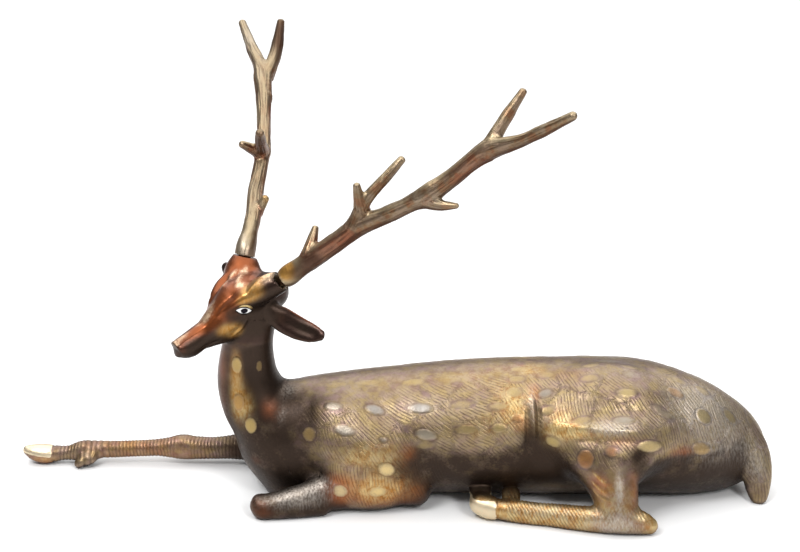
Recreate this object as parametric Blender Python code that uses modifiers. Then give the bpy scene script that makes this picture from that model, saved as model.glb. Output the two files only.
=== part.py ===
"""A brass deer lying down, with two antlers that lift out of its head.

The tables are in millimetres and the model is in metres, +Z up. The deer faces -X and its left
side faces -Y. The origin is on the flat underside of its belly. The body is one casting. Each
antler is a casting of its own, whose peg stands in a socket in the head.

Each casting is a soft union of limbs. A limb is a run of oval sections along a line of stations.
"""
import math
from dataclasses import dataclass, replace

import bmesh
import bpy
import numpy as np
from mathutils import Matrix, Vector

# Driving dimensions, in millimetres.
MM = 0.001
BODY_GRID = 2.4             # spacing of the faces before they are thinned out
ANTLER_GRID = 1.3
BODY_TRIANGLES = 6600
ANTLER_TRIANGLES = 1300
SOCKET_DEPTH = 12.0
PEG_DEPTH = 11.6            # how deep a peg goes, just short of the floor of its socket
CUTTER_RADIUS = 12.5
CUTTER_LENGTH = 14.0
CUTTER_SIDES = 32
GROUND_SIZE = 900.0

# The head turns to the deer's left and dips; every head station is measured from EYE_MIDDLE.
HEAD_TURN = math.radians(35)
HEAD_DIP = math.radians(24)
EYE_MIDDLE = np.array([-113.0, -10.0, 139.0])

SAMPLES_PER_SPAN = 5
RING_POINTS = 14
SETTLE_ROUNDS = 5
LARGEST_MOVE = 3.0          # how far a point may be moved in one round
BLEND_MARGIN = 6.0          # how far past its own skin a limb is felt
FAR_AWAY = 60.0
SMALLEST = 1e-9


@dataclass(frozen=True)
class Limb:
    """One run of a casting: oval sections along stations, in millimetres.

    Each station is (x, y, z, half_width, half_depth). The width lies along side, and the depth
    is square to both side and the line. Caps are the lengths of the rounded ends.
    """

    stations: tuple
    side: tuple = (0.0, 1.0, 0.0)
    blend: float = 6.0
    caps: tuple = (4.0, 4.0)


def head_axes():
    """Return the head's forward, left and up directions."""
    level = np.array([-math.cos(HEAD_TURN), -math.sin(HEAD_TURN), 0.0])
    left = np.array([math.sin(HEAD_TURN), -math.cos(HEAD_TURN), 0.0])
    up = np.array([0.0, 0.0, 1.0])
    forward = math.cos(HEAD_DIP) * level - math.sin(HEAD_DIP) * up
    return forward, left, math.sin(HEAD_DIP) * level + math.cos(HEAD_DIP) * up


def head_direction(vector):
    """Turn a (forward, left, up) vector into the part's own axes."""
    forward, left, up = head_axes()
    return vector[0] * forward + vector[1] * left + vector[2] * up


def head_limb(stations, side=(0.0, 1.0, 0.0), **options):
    """Make a limb from stations given as (forward, left, up, half_width, half_depth)."""
    placed = []
    for forward, left, up, half_width, half_depth in stations:
        place = EYE_MIDDLE + head_direction((forward, left, up))
        placed.append((*place, half_width, half_depth))
    return Limb(tuple(placed), tuple(head_direction(side)), **options)


@dataclass(frozen=True)
class Socket:
    """The seat of an antler in its pedicle.

    The mouth and the axis are (forward, left, up). The stand-off is how far the antler's foot
    is above the rim.
    """

    mouth: tuple
    axis: tuple
    bore_radius: float
    peg_radius: float
    stand_off: float


LEFT_SOCKET = Socket((-30.1, 24.7, 7.5), (-0.73, 0.58, 0.37), 5.7, 4.7, 4.0)
RIGHT_SOCKET = Socket((-31.2, -21.3, 12.0), (-0.668, -0.091, 0.739), 4.6, 4.1, 0.9)


def mirrored(limb):
    """Return a limb reflected to the deer's other side."""
    stations = tuple((x, -y, z, width, depth) for x, y, z, width, depth in limb.stations)
    side = (limb.side[0], -limb.side[1], limb.side[2])
    return replace(limb, stations=stations, side=side)


def trunk_limbs():
    """The barrel from chest to rump, and the tail that hangs over its end."""
    trunk = Limb((
        (-86, 0, 34, 24, 27), (-70, 0, 38.5, 35, 38.6), (-35, 0, 41.2, 41, 42.2),
        (0, 0, 43, 44, 44.2), (35, 0, 45, 45, 46), (70, 0, 46.1, 46, 47),
        (105, 0, 46, 47, 47.6), (137, 0, 46, 47, 47.6), (164, 0, 45.3, 46, 46.2),
        (190, 0, 40, 41, 42.6), (206, 0, 36, 36, 38), (221, 0, 31.5, 29, 31.8),
        (234, 0, 28.2, 19.5, 21.3)), blend=8, caps=(8, 7))
    tail = Limb((
        (232, -4, 49, 9, 8), (242.5, -12, 35, 10.6, 8), (246, -18, 22, 10.4, 7.5),
        (246.4, -23, 10, 8.6, 6), (247, -27, 3, 5.4, 4.5)), side=(1, 0, 0), blend=4, caps=(3, 3))
    return [trunk, tail]


def neck_limbs():
    """The upright neck, widening down into the chest."""
    return [Limb((
        (-98, -3, 130, 14, 15), (-102.5, -3, 112, 15, 16.5), (-104.5, -2, 96, 16.5, 18.8),
        (-104, -1, 80, 20, 21.2), (-98.8, 0, 64, 25, 23.8), (-88.5, 0, 48, 29, 26),
        (-80.5, 0, 32, 31, 26), (-74.5, 0, 16, 30, 25), (-70, 0, 6, 27, 21)), blend=7, caps=(4, 5))]


def head_limbs():
    """Skull, muzzle, jaw, brows, pedicles and ears, whose lefts are below 0 on the right."""
    skull = head_limb(((-30, 0, -9.5, 13, 12.5), (-20, 0, -6, 16, 15.5), (-8, 0.6, -3, 15.9, 17),
                      (4, 1.1, -3.4, 12.9, 13.5), (14, 0.8, -5.6, 9.6, 10.9)), blend=6)
    muzzle = head_limb(((8, 0.4, -5.5, 10.4, 10.4), (18, 0.2, -5.8, 8.9, 8.9), (28, 0, -6.1, 7.6, 8.5),
                       (37.5, 0, -6.4, 7.2, 8.6), (43.5, 0, -4.4, 6.4, 6.9), (47.5, 0, -3.4, 5.8, 5.6)),
                      blend=5, caps=(4, 2.5))
    jaw = head_limb(((24, 0, -12.6, 4.5, 4), (14, 0, -14, 7.5, 6), (2, 0, -14.4, 10, 8),
                     (-12, 0, -14, 11, 9)), blend=5)
    brows = [
        head_limb(((9, 8.2, 2, 2.4, 2.4), (3, 12.2, 6, 3.2, 3.2), (-6, 14.5, 7.6, 3.6, 3.6)),
                  blend=4, caps=(2, 2)),
        head_limb(((9, -6.8, 1.8, 2.6, 2.6), (3, -11.2, 6.2, 3.2, 3.2), (-6, -14.6, 8.4, 3.8, 3.8),
                   (-14, -15, 8, 4, 4)), blend=4, caps=(2, 2)),
    ]
    pedicles = [
        head_limb(((-8, 10, 3.4, 8.6, 7.6), (-18, 16.5, 5.6, 9.4, 8.6), (-25, 21.3, 6.8, 8.2, 8.2),
                   (-30.1, 24.7, 7.5, 7.4, 7.4), (-36, 29.4, 10.5, 7.4, 7.4)),
                  (0.58, 0.73, 0), blend=5, caps=(4, 2)),
        head_limb(((-17, -12, -1, 13.5, 11), (-23, -17, 4.5, 12.8, 10.5), (-27.5, -20, 8.2, 9.8, 9),
                   (-31.2, -21.3, 12, 6.3, 6.3), (-35, -21.8, 16, 6.2, 6.2)),
                  (-0.748, 0.574, -0.333), blend=5, caps=(4, 2)),
    ]
    ears = [
        head_limb(((-18, 13, -11, 5.8, 4.6), (-20.9, 20.5, -20.2, 7.9, 3.4), (-24.9, 29, -27, 7.5, 2.8),
                   (-29.4, 38, -31.8, 6, 2.3), (-33, 45, -33.8, 3.2, 1.6)),
                  (-0.785, -0.03, 0.56), blend=3, caps=(2, 1.5)),
        head_limb(((-18, -13, -9, 6.4, 4.6), (-20, -21, -7, 7.4, 3.4), (-21.2, -30, -3.6, 7, 2.8),
                   (-22, -38, -0.4, 5.4, 2.3), (-22.6, -44.5, 2, 3, 1.6)),
                  (-0.785, 0.03, 0.56), blend=3, caps=(2, 1.5)),
    ]
    return [skull, muzzle, jaw, *brows, *pedicles, *ears]


def fore_limbs():
    """The left foreleg folded under the chest, and the right one stretched out ahead."""
    folded = [
        Limb(((-48, -20, 66, 8, 7), (-43, -25, 59, 20, 13), (-30, -31, 44, 30, 18),
              (-18, -34, 29, 30, 17), (-12, -34, 19, 24, 14)), side=(1, 0, 0), blend=9, caps=(4, 6)),
        Limb(((-95, -46, 7.8, 8, 8), (-85, -45.5, 8.2, 8.6, 8.6), (-68, -43, 10.5, 9.6, 10.8),
              (-50, -39, 14, 10.5, 13.5), (-30, -34.5, 16.5, 12, 15.5), (-8, -31.5, 17.5, 13, 15.5),
              (13, -33, 15.5, 12, 13.5)), blend=5, caps=(6, 9)),
        Limb(((-92, -47, 6, 8, 6), (-70, -45.5, 5.5, 7, 5.5), (-52, -43, 5.5, 7.2, 5.5)),
             blend=4, caps=(5, 3)),
    ]
    stretched = [
        Limb(((-270, 33, 8.5, 4.5, 4.2), (-264, 33, 7.5, 6.5, 6.5), (-257, 33, 7, 7.2, 7),
              (-251, 33, 7.2, 6.2, 6.2), (-245, 33, 7.6, 5.2, 5.4), (-238, 33, 8, 5.2, 5.6),
              (-229, 33, 9.4, 6.4, 7.8), (-219, 33, 10.4, 5.8, 6.6), (-200, 33, 10.8, 5.6, 6.2),
              (-178, 33, 11.8, 5.8, 6.2), (-166, 33, 12.2, 6.6, 7.6), (-157, 33, 12.5, 7.4, 9.4),
              (-147, 33, 11.8, 7.4, 8.6), (-134, 33, 11.6, 7.4, 8.2), (-120, 33, 12.5, 8.6, 9),
              (-104, 31, 14, 11, 11), (-85, 26, 22, 15, 17)), blend=5, caps=(2.5, 8)),
        Limb(((-231, 24, 3, 2.6, 2.4), (-227.5, 27.5, 6, 3.4, 3)), blend=2, caps=(2, 2)),
        Limb(((-52, 20, 64, 7, 7), (-50, 25, 56, 18, 12), (-50, 30, 42, 25, 16),
              (-56, 31, 28, 22, 14)), side=(1, 0, 0), blend=9, caps=(4, 6)),
    ]
    return folded + stretched


def hind_limbs():
    """Both hind legs folded: thigh, hock and the long bone that lies forward along the ground."""
    thigh = Limb(((150, -15, 79, 12, 7), (147, -20, 73, 32, 14), (142, -29, 62, 45, 20),
                  (140, -38, 50, 36, 21), (139.5, -50, 37, 21, 17), (142.5, -59, 25, 15.6, 13.5),
                  (145, -66, 13, 13, 11)), side=(1, 0, 0), blend=8, caps=(6, 4))
    far_thigh = Limb(((149, 14, 66, 12, 7), (146, 19, 60, 30, 13), (142, 26, 53, 42, 17),
                      (140, 34, 44, 38, 18), (141.5, 46, 33, 27, 16), (144, 57, 22, 17.5, 13),
                      (146, 65, 12, 14, 11)), side=(1, 0, 0), blend=10, caps=(6, 4))
    shank = Limb(((166, -69.8, 5.4, 5, 5.4), (156, -69, 8.4, 7.8, 8.6), (140, -67.5, 9, 8.6, 9.2),
                  (120, -63.5, 8.2, 7.8, 8.4), (100, -58.5, 8, 7, 8), (80, -54.5, 8, 6.5, 8),
                  (68, -51.5, 7.8, 6.2, 7), (60, -49.5, 8.6, 7.6, 8), (52.6, -47, 10.5, 7, 7.2)),
                 blend=4, caps=(3, 2))
    webs = [Limb(((54.5, -47, 12, 7, 3.2), (54.5, -36, 16, 7.5, 3.6)), side=(1, 0, 0), blend=2),
            Limb(((75, -52, 11.5, 6, 2.5), (75, -39, 15, 6.5, 3)), side=(1, 0, 0), blend=2)]
    return [thigh, far_thigh, shank, mirrored(shank), *webs, mirrored(webs[0])]


def antler_limbs(beam, tines):
    """Return an antler's limbs: its beam, and the tines that branch off it."""
    return [beam] + [Limb(tine, blend=3, caps=(2, 2)) for tine in tines]


def left_antler_limbs():
    """The left antler: beam, brow tine, a pair of tines, a back tine and the end fork."""
    beam = Limb((
        (-78, -16.4, 158.8, 5.8, 5.8), (-74.4, -17.6, 161.8, 6.9, 6.9), (-71.6, -19, 164.4, 7, 7.2),
        (-63.6, -21, 171, 6.4, 6.6), (-53, -24, 179.6, 6.4, 6.8), (-39.6, -30, 191.2, 6, 6.4),
        (-26, -36, 203, 6, 6.6), (-10, -42, 211.6, 5.2, 5.6), (8, -48, 222.2, 5, 5.5),
        (19, -52, 230, 5.6, 6.8), (30, -54, 238.6, 5.2, 5.8), (43.6, -58, 251.4, 5.4, 5.8),
        (54.5, -62, 260, 5.8, 6.4), (71.6, -75, 269, 4, 4), (84.8, -85, 278.2, 3.8, 3.8),
        (100.2, -96, 289.4, 3.3, 3.3)), blend=3, caps=(3, 3))
    tines = (
        ((-60, -22, 179, 4.6, 4.6), (-57.3, -19, 187, 3.7, 3.7), (-55.2, -15, 194.6, 2, 2)),
        ((-29, -36, 203, 5.4, 5.4), (-24.5, -37, 215, 4.3, 4.3), (-18.6, -37.5, 224.5, 3.8, 3.8),
         (-8.4, -36.5, 235.8, 3.4, 3.4), (1.2, -34, 246.3, 2.7, 2.7)),
        ((-24, -37, 214, 4.4, 4.4), (-26, -39, 223, 3.6, 3.6), (-27.2, -40, 231, 2, 2)),
        ((12, -49, 225, 5, 5), (24, -56, 223.2, 3.6, 3.6), (34.6, -61, 224.2, 2.1, 2.1)),
        ((51.5, -61, 257, 5, 5), (57.5, -60, 268, 4.6, 4.6), (65, -57.5, 280.4, 3.8, 3.8),
         (74.6, -54.5, 294.8, 2.9, 2.9)))
    return antler_limbs(beam, tines)


def right_antler_limbs():
    """The right antler, with the same tines on a beam that bends its own way."""
    beam = Limb((
        (-105.9, 21.2, 163, 7.1, 7.1), (-105, 24, 168.4, 6.9, 6.9), (-103.5, 29, 174.1, 6.1, 6.1),
        (-102.5, 34, 178.7, 5.5, 5.5), (-101.7, 39.5, 182.2, 5.5, 5.5), (-101.4, 46, 185.4, 5.5, 5.5),
        (-101.4, 66, 194.8, 5.2, 5.6), (-100.4, 76, 201, 5, 5.4), (-98.4, 91, 212.5, 5.2, 5.2),
        (-97.8, 96, 217, 5.2, 5.2), (-98.6, 112, 229, 5, 5), (-100, 133, 245, 5.4, 5.6),
        (-101.8, 149, 256, 6.2, 6.8), (-104, 160, 263.5, 5.6, 5.6), (-112.4, 182, 274.5, 4.3, 4.3),
        (-122, 212.6, 287, 3.5, 3.5)), blend=3, caps=(3, 3))
    tines = (
        ((-101, 46, 183.5, 4, 4), (-96.6, 48, 190, 3.2, 3.2), (-92.8, 47, 196.2, 2, 2)),
        ((-98, 94, 216, 4.6, 4.6), (-98, 79, 227, 4.2, 4.2), (-97, 64, 238, 2.8, 2.8)),
        ((-99, 90, 216, 4.4, 4.4), (-106, 85, 222, 3.5, 3.5), (-111.6, 81, 226, 2, 2)),
        ((-99, 134, 245, 5, 5), (-102, 146, 244, 3.8, 3.8), (-104, 157, 243.5, 2.2, 2.2)),
        ((-99, 153, 257.5, 5.4, 5.4), (-93.6, 165, 271, 4.8, 4.8), (-91.4, 172, 281, 4.2, 4.2),
         (-89.6, 180.2, 294.4, 3.1, 3.1)))
    return antler_limbs(beam, tines)


def sample_limb(limb):
    """Return a limb's samples as arrays: centres, half sizes, and the axes at each sample."""
    stations = np.array(limb.stations, dtype=float)
    padded = np.vstack((2 * stations[0] - stations[1], stations, 2 * stations[-1] - stations[-2]))
    steps = np.linspace(0, 1, SAMPLES_PER_SPAN, endpoint=False)[:, None]
    runs = []
    for before, start, end, after in zip(padded, padded[1:], padded[2:], padded[3:]):
        runs.append(0.5 * (2 * start + (end - before) * steps
                           + (2 * before - 5 * start + 4 * end - after) * steps ** 2
                           + (3 * start - before - 3 * end + after) * steps ** 3))
    samples = np.vstack(runs + [stations[-1:]])
    centres, sizes = samples[:, :3], samples[:, 3:]
    along = np.gradient(centres, axis=0)
    along /= np.linalg.norm(along, axis=1, keepdims=True)
    side = np.array(limb.side) - along * (along @ np.array(limb.side))[:, None]
    side /= np.linalg.norm(side, axis=1, keepdims=True)
    return centres, sizes, along, side, np.cross(along, side)


def limb_distance(points, limb):
    """Return the distance from points to a limb's skin, below zero inside it."""
    centres, sizes, along, side, deep = sample_limb(limb)
    nearest = np.full(len(points), np.inf)
    last = len(centres) - 2
    for index in range(last + 1):
        run = centres[index + 1] - centres[index]
        share = (points - centres[index]) @ run / (run @ run)
        held = np.clip(share, 0, 1)
        offset = points - centres[index] - held[:, None] * run
        size = sizes[index] + held[:, None] * (sizes[index + 1] - sizes[index])
        local = np.stack((offset @ side[index], offset @ deep[index], offset @ along[index]), axis=1)
        cap = np.full(len(points), size.mean())
        if index == 0:
            cap[share < 0] = limb.caps[0]
        if index == last:
            cap[share > 1] = limb.caps[1]
        radii = np.column_stack((size, cap))
        reach = np.linalg.norm(local / radii, axis=1)
        slope = np.linalg.norm(local / radii ** 2, axis=1)
        distance = reach * (reach - 1) / np.maximum(slope, SMALLEST)
        nearest = np.minimum(nearest, distance)
    return nearest


def soft_union(points, limbs):
    """Return the distance from points to the blended skin of all the limbs."""
    total = np.full(len(points), FAR_AWAY)
    for limb in limbs:
        stations = np.array(limb.stations)
        margin = stations[:, 3:].max() + limb.blend + BLEND_MARGIN
        low, high = stations[:, :3].min(axis=0) - margin, stations[:, :3].max(axis=0) + margin
        near = np.all((points > low) & (points < high), axis=1)
        distance = limb_distance(points[near], limb)
        held = total[near]
        overlap = np.maximum(limb.blend - np.abs(held - distance), 0) / limb.blend
        total[near] = np.minimum(held, distance) - overlap ** 2 * limb.blend / 4
    return total


def add_limb_tube(mesh, limb):
    """Loft a limb as a closed tube of rings with a point at each end."""
    centres, sizes, along, side, deep = sample_limb(limb)
    rings = []
    for index, centre in enumerate(centres):
        ring = []
        for step in range(RING_POINTS):
            turn = 2 * math.pi * step / RING_POINTS
            across = math.cos(turn) * sizes[index, 0] * side[index]
            ring.append(mesh.verts.new(centre + across + math.sin(turn) * sizes[index, 1] * deep[index]))
        rings.append(ring)
    for ring, following in zip(rings, rings[1:]):
        for step in range(RING_POINTS):
            after = (step + 1) % RING_POINTS
            mesh.faces.new((ring[step], ring[after], following[after], following[step]))
    for ring, centre, reach in ((rings[0][::-1], centres[0], -along[0] * limb.caps[0]),
                                (rings[-1], centres[-1], along[-1] * limb.caps[1])):
        tip = mesh.verts.new(centre + reach)
        for step in range(RING_POINTS):
            mesh.faces.new((ring[step], ring[(step + 1) % RING_POINTS], tip))


def settle(obj, limbs):
    """Move a mesh's vertices onto the soft union, smoothing it between the moves."""
    for round_index in range(SETTLE_ROUNDS):
        mesh = bmesh.new()
        mesh.from_mesh(obj.data)
        if round_index < SETTLE_ROUNDS - 1:
            bmesh.ops.smooth_vert(mesh, verts=mesh.verts, factor=0.5, use_axis_x=True,
                                  use_axis_y=True, use_axis_z=True)
        mesh.normal_update()
        points = np.array([vert.co for vert in mesh.verts]) / MM
        normals = np.array([vert.normal for vert in mesh.verts])
        points -= normals * np.clip(soft_union(points, limbs), -LARGEST_MOVE, LARGEST_MOVE)[:, None]
        for vert, point in zip(mesh.verts, points * MM):
            vert.co = point
        mesh.to_mesh(obj.data)
        mesh.free()


def apply_modifiers(obj):
    """Replace an object's mesh with its evaluated mesh and drop its modifiers."""
    graph = bpy.context.evaluated_depsgraph_get()
    mesh = bpy.data.meshes.new_from_object(obj.evaluated_get(graph))
    previous = obj.data
    obj.modifiers.clear()
    obj.data = mesh
    bpy.data.meshes.remove(previous)


def thin_out(obj, triangles):
    """Collapse edges until about the given number of triangles is left."""
    obj.data.calc_loop_triangles()
    thinner = obj.modifiers.new("Thin out", "DECIMATE")
    thinner.ratio = triangles / len(obj.data.loop_triangles)
    apply_modifiers(obj)


def link_mesh(mesh, name, collection):
    """Make an object of a mesh being edited, and free that."""
    data = bpy.data.meshes.new(name)
    mesh.to_mesh(data)
    mesh.free()
    obj = bpy.data.objects.new(name, data)
    collection.objects.link(obj)
    return obj


def make_casting(name, limbs, grid, triangles, collection):
    """Build one casting as a single closed skin round its limbs."""
    mesh = bmesh.new()
    for limb in limbs:
        add_limb_tube(mesh, limb)
    bmesh.ops.scale(mesh, vec=(MM, MM, MM), verts=mesh.verts)
    bmesh.ops.recalc_face_normals(mesh, faces=mesh.faces)
    obj = link_mesh(mesh, name, collection)
    skin = obj.modifiers.new("One skin", "REMESH")
    skin.mode = "VOXEL"
    skin.voxel_size = grid * MM
    apply_modifiers(obj)
    settle(obj, limbs)
    thin_out(obj, triangles)
    return obj


def make_cylinder(name, collection, socket, radius, start, end):
    """Add a closed cylinder along a socket's axis, from start to end past its mouth."""
    place = Vector((EYE_MIDDLE + head_direction(socket.mouth)) * MM)
    turn = Vector(head_direction(socket.axis)).to_track_quat("Z", "Y")
    seat = Matrix.LocRotScale(place, turn, None)
    middle = Matrix.Translation((0, 0, (start + end) / 2 * MM))
    mesh = bmesh.new()
    bmesh.ops.create_cone(mesh, cap_ends=True, segments=CUTTER_SIDES, radius1=radius * MM,
                          radius2=radius * MM, depth=(end - start) * MM, matrix=seat @ middle)
    return link_mesh(mesh, name, collection)


def hide_cutter(obj):
    """Mark an object as a cutter, so that it is no part of the model."""
    obj.hide_render = True
    obj.display_type = "WIRE"


def combine(obj, other, operation):
    """Add an exact Boolean with another object, which becomes a hidden cutter."""
    hide_cutter(other)
    modifier = obj.modifiers.new(other.name, "BOOLEAN")
    modifier.operation = operation
    modifier.solver = "EXACT"
    modifier.object = other


def cut_underside(body, cutters):
    """Cut the body off flat at the surface that it lies on."""
    mesh = bmesh.new()
    bmesh.ops.create_cube(mesh, size=GROUND_SIZE * MM)
    bmesh.ops.translate(mesh, vec=(0, 0, -GROUND_SIZE / 2 * MM), verts=mesh.verts)
    combine(body, link_mesh(mesh, "Ground cutter", cutters), "DIFFERENCE")


def cut_socket(body, name, socket, cutters):
    """Cut a pedicle off square and drill the socket in it."""
    rim = make_cylinder(f"{name} rim cutter", cutters, socket, CUTTER_RADIUS, 0, CUTTER_LENGTH)
    combine(body, rim, "DIFFERENCE")
    bore = make_cylinder(f"{name} bore cutter", cutters, socket, socket.bore_radius,
                         -SOCKET_DEPTH, CUTTER_LENGTH)
    combine(body, bore, "DIFFERENCE")


def fit_peg(antler, socket, cutters):
    """Cut an antler's foot off square and put its peg on."""
    foot = make_cylinder(f"{antler.name} foot cutter", cutters, socket, CUTTER_RADIUS,
                         socket.stand_off - CUTTER_LENGTH, socket.stand_off)
    combine(antler, foot, "DIFFERENCE")
    peg = make_cylinder(f"{antler.name} peg", cutters, socket, socket.peg_radius,
                        -PEG_DEPTH, socket.stand_off + socket.peg_radius)
    combine(antler, peg, "UNION")


def brass(name, colour, roughness):
    """Return a metal material."""
    material = bpy.data.materials.new(name)
    material.use_nodes = True
    shader = material.node_tree.nodes["Principled BSDF"]
    shader.inputs["Base Color"].default_value = (*colour, 1)
    shader.inputs["Metallic"].default_value = 1.0
    shader.inputs["Roughness"].default_value = roughness
    return material


def finish(obj, material):
    """Give an object its material and smooth shading."""
    obj.data.materials.append(material)
    obj.data.shade_smooth()


def clear_scene():
    """Remove every object there is."""
    for obj in list(bpy.data.objects):
        bpy.data.objects.remove(obj, do_unlink=True)


def main():
    """Build the deer and its two antlers."""
    clear_scene()
    parts = bpy.data.collections.new("Brass deer figurine")
    cutters = bpy.data.collections.new("Cutters")
    bpy.context.scene.collection.children.link(parts)
    bpy.context.scene.collection.children.link(cutters)

    limbs = trunk_limbs() + neck_limbs() + head_limbs() + fore_limbs() + hind_limbs()
    body = make_casting("deer_body", limbs, BODY_GRID, BODY_TRIANGLES, parts)
    cut_underside(body, cutters)
    finish(body, brass("patinated brass", (0.22, 0.13, 0.07), 0.42))

    antler_brass = brass("antler brass", (0.30, 0.20, 0.10), 0.45)
    for name, socket, limbs in (("antler_left", LEFT_SOCKET, left_antler_limbs()),
                                ("antler_right", RIGHT_SOCKET, right_antler_limbs())):
        cut_socket(body, name, socket, cutters)
        antler = make_casting(name, limbs, ANTLER_GRID, ANTLER_TRIANGLES, parts)
        fit_peg(antler, socket, cutters)
        finish(antler, antler_brass)


main()
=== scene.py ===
"""Looks for a brass deer that lies down, and for the two antlers that lift out of its head.

Tables are in millimetres and the scene is in metres, with +Z up. The deer faces -X and its left
side faces -Y. Each casting starts as a soft union of limbs with a fine skin. The relief is then
worked into the skin: folds, hair, rings, spots and the face. What the relief knows about each
place is kept in the mesh as named marks, which the finishes read.
"""
import itertools
import logging
import math
from collections.abc import Iterable, Sequence
from dataclasses import dataclass, field, replace
from enum import Enum

import bmesh
import bpy
import numpy as np
from mathutils import Matrix, Vector
from mathutils.kdtree import KDTree


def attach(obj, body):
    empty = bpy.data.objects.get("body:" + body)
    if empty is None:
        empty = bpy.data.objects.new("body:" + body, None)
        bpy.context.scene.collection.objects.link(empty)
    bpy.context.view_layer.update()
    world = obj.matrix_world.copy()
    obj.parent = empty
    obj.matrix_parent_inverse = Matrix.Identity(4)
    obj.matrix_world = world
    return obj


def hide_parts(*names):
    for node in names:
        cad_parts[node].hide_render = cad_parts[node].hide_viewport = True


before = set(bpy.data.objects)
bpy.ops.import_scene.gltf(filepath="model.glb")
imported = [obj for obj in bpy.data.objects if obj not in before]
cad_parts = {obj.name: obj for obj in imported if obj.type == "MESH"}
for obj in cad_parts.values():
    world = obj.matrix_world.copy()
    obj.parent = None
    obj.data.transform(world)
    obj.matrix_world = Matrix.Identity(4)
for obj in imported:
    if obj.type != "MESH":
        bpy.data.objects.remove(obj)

Pair = tuple[float, float]
Triple = tuple[float, float, float]
Station = tuple[float, float, float, float, float]

MM = 0.001
LOG = logging.getLogger("brass_deer")

# Between fine strokes of hair; every second one is cut deep.
HAIR_PITCH = 2.1

# The eye's opening: half its length, how far the upper lid arches, and the lower lid's share of
# that.
EYE_HALF_LENGTH = 5.6
LID_ARCH = 2.9
LOWER_LID = 0.85


class Side(Enum):
    """The deer's own left or right."""

    LEFT = 1
    RIGHT = -1


class Mark(Enum):
    """A named value kept at every point of a skin."""

    GROOVE = "groove"       # 0 to 1, how deep in a cut
    SPOT = "spot"           # millimetres out from the nearest spot's edge
    TONE = "tone"           # the nearest spot's colour: -1 orange, 0 gold, 1 silver, 1.5 straw
    SHOWN = "shown"         # 0 to 1, how plain the nearest spot is
    RUBBED_AND_LIT = "gold"           # 0 to 1, rubbed gold and painted light
    RED = "red"             # 0 to 1, red-orange lacquer
    DARK = "dark"           # 0 to 1, dark brown patina and painted shade
    SILVERED_AND_HIGHLIGHT = "pale"           # 0 to 1, silvery rubbing and painted highlight
    HEAD = "head"           # 0 to 1, mahogany lacquer
    HOOF = "hoof"           # 0 to 1, cream hoof
    EYE = "eye"             # place in the eye's own plane
    HAIR = "hair"           # 0 to 1, how strongly hair is cut
    COMB = "comb"           # millimetres across and along the hair of a tuft
    GRAIN = "grain"         # place round and along a limb


def smooth_step(values: np.ndarray, start: float, end: float) -> np.ndarray:
    """Return values eased from 0 at start to 1 at end."""
    share = np.clip((values - start) / (end - start), 0, 1)
    return share * share * (3 - 2 * share)


@dataclass(frozen=True)
class Span:
    """A stretch of an axis, which fades in over one pair of values and out over another."""

    start: Pair
    end: Pair

    def amount(self, values: np.ndarray) -> np.ndarray:
        """Return 1 inside the stretch and 0 outside it."""
        return smooth_step(values, *self.start) * (1 - smooth_step(values, *self.end))


def wave(turns: np.ndarray) -> np.ndarray:
    """Return a wave between 0 and 1, which is 1 at each whole turn."""
    return 0.5 + 0.5 * np.cos(2 * math.pi * turns)


def lattice_noise(places: np.ndarray, seed: int = 0) -> np.ndarray:
    """Return smooth noise between -1 and 1.

    Args:
        places: One place a row, in units of the noise's cell.
        seed: Which noise it is.

    Returns:
        One value a place.
    """
    cell = np.floor(places).astype(np.int64)
    part = places - cell
    part = part * part * (3 - 2 * part)
    total = np.zeros(len(places))
    for corner in itertools.product((0, 1), repeat=3):
        corner_cell = cell + corner
        mixed = (corner_cell[:, 0] * 73856093) ^ (corner_cell[:, 1] * 19349663)
        mixed = mixed ^ (corner_cell[:, 2] * 83492791) ^ (seed * 2654435761)
        mixed = (mixed ^ (mixed >> 13)) * 1274126177
        value = ((mixed >> 9) & 0xFFFF) / 0x7FFF - 1
        weight = np.where(np.array(corner) > 0, part, 1 - part).prod(axis=1)
        total += value * weight
    return total


@dataclass(frozen=True)
class LimbSamples:
    """Closely spaced samples along a limb."""

    centres: np.ndarray
    sizes: np.ndarray
    along: np.ndarray
    side: np.ndarray
    deep: np.ndarray
    run: np.ndarray


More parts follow.
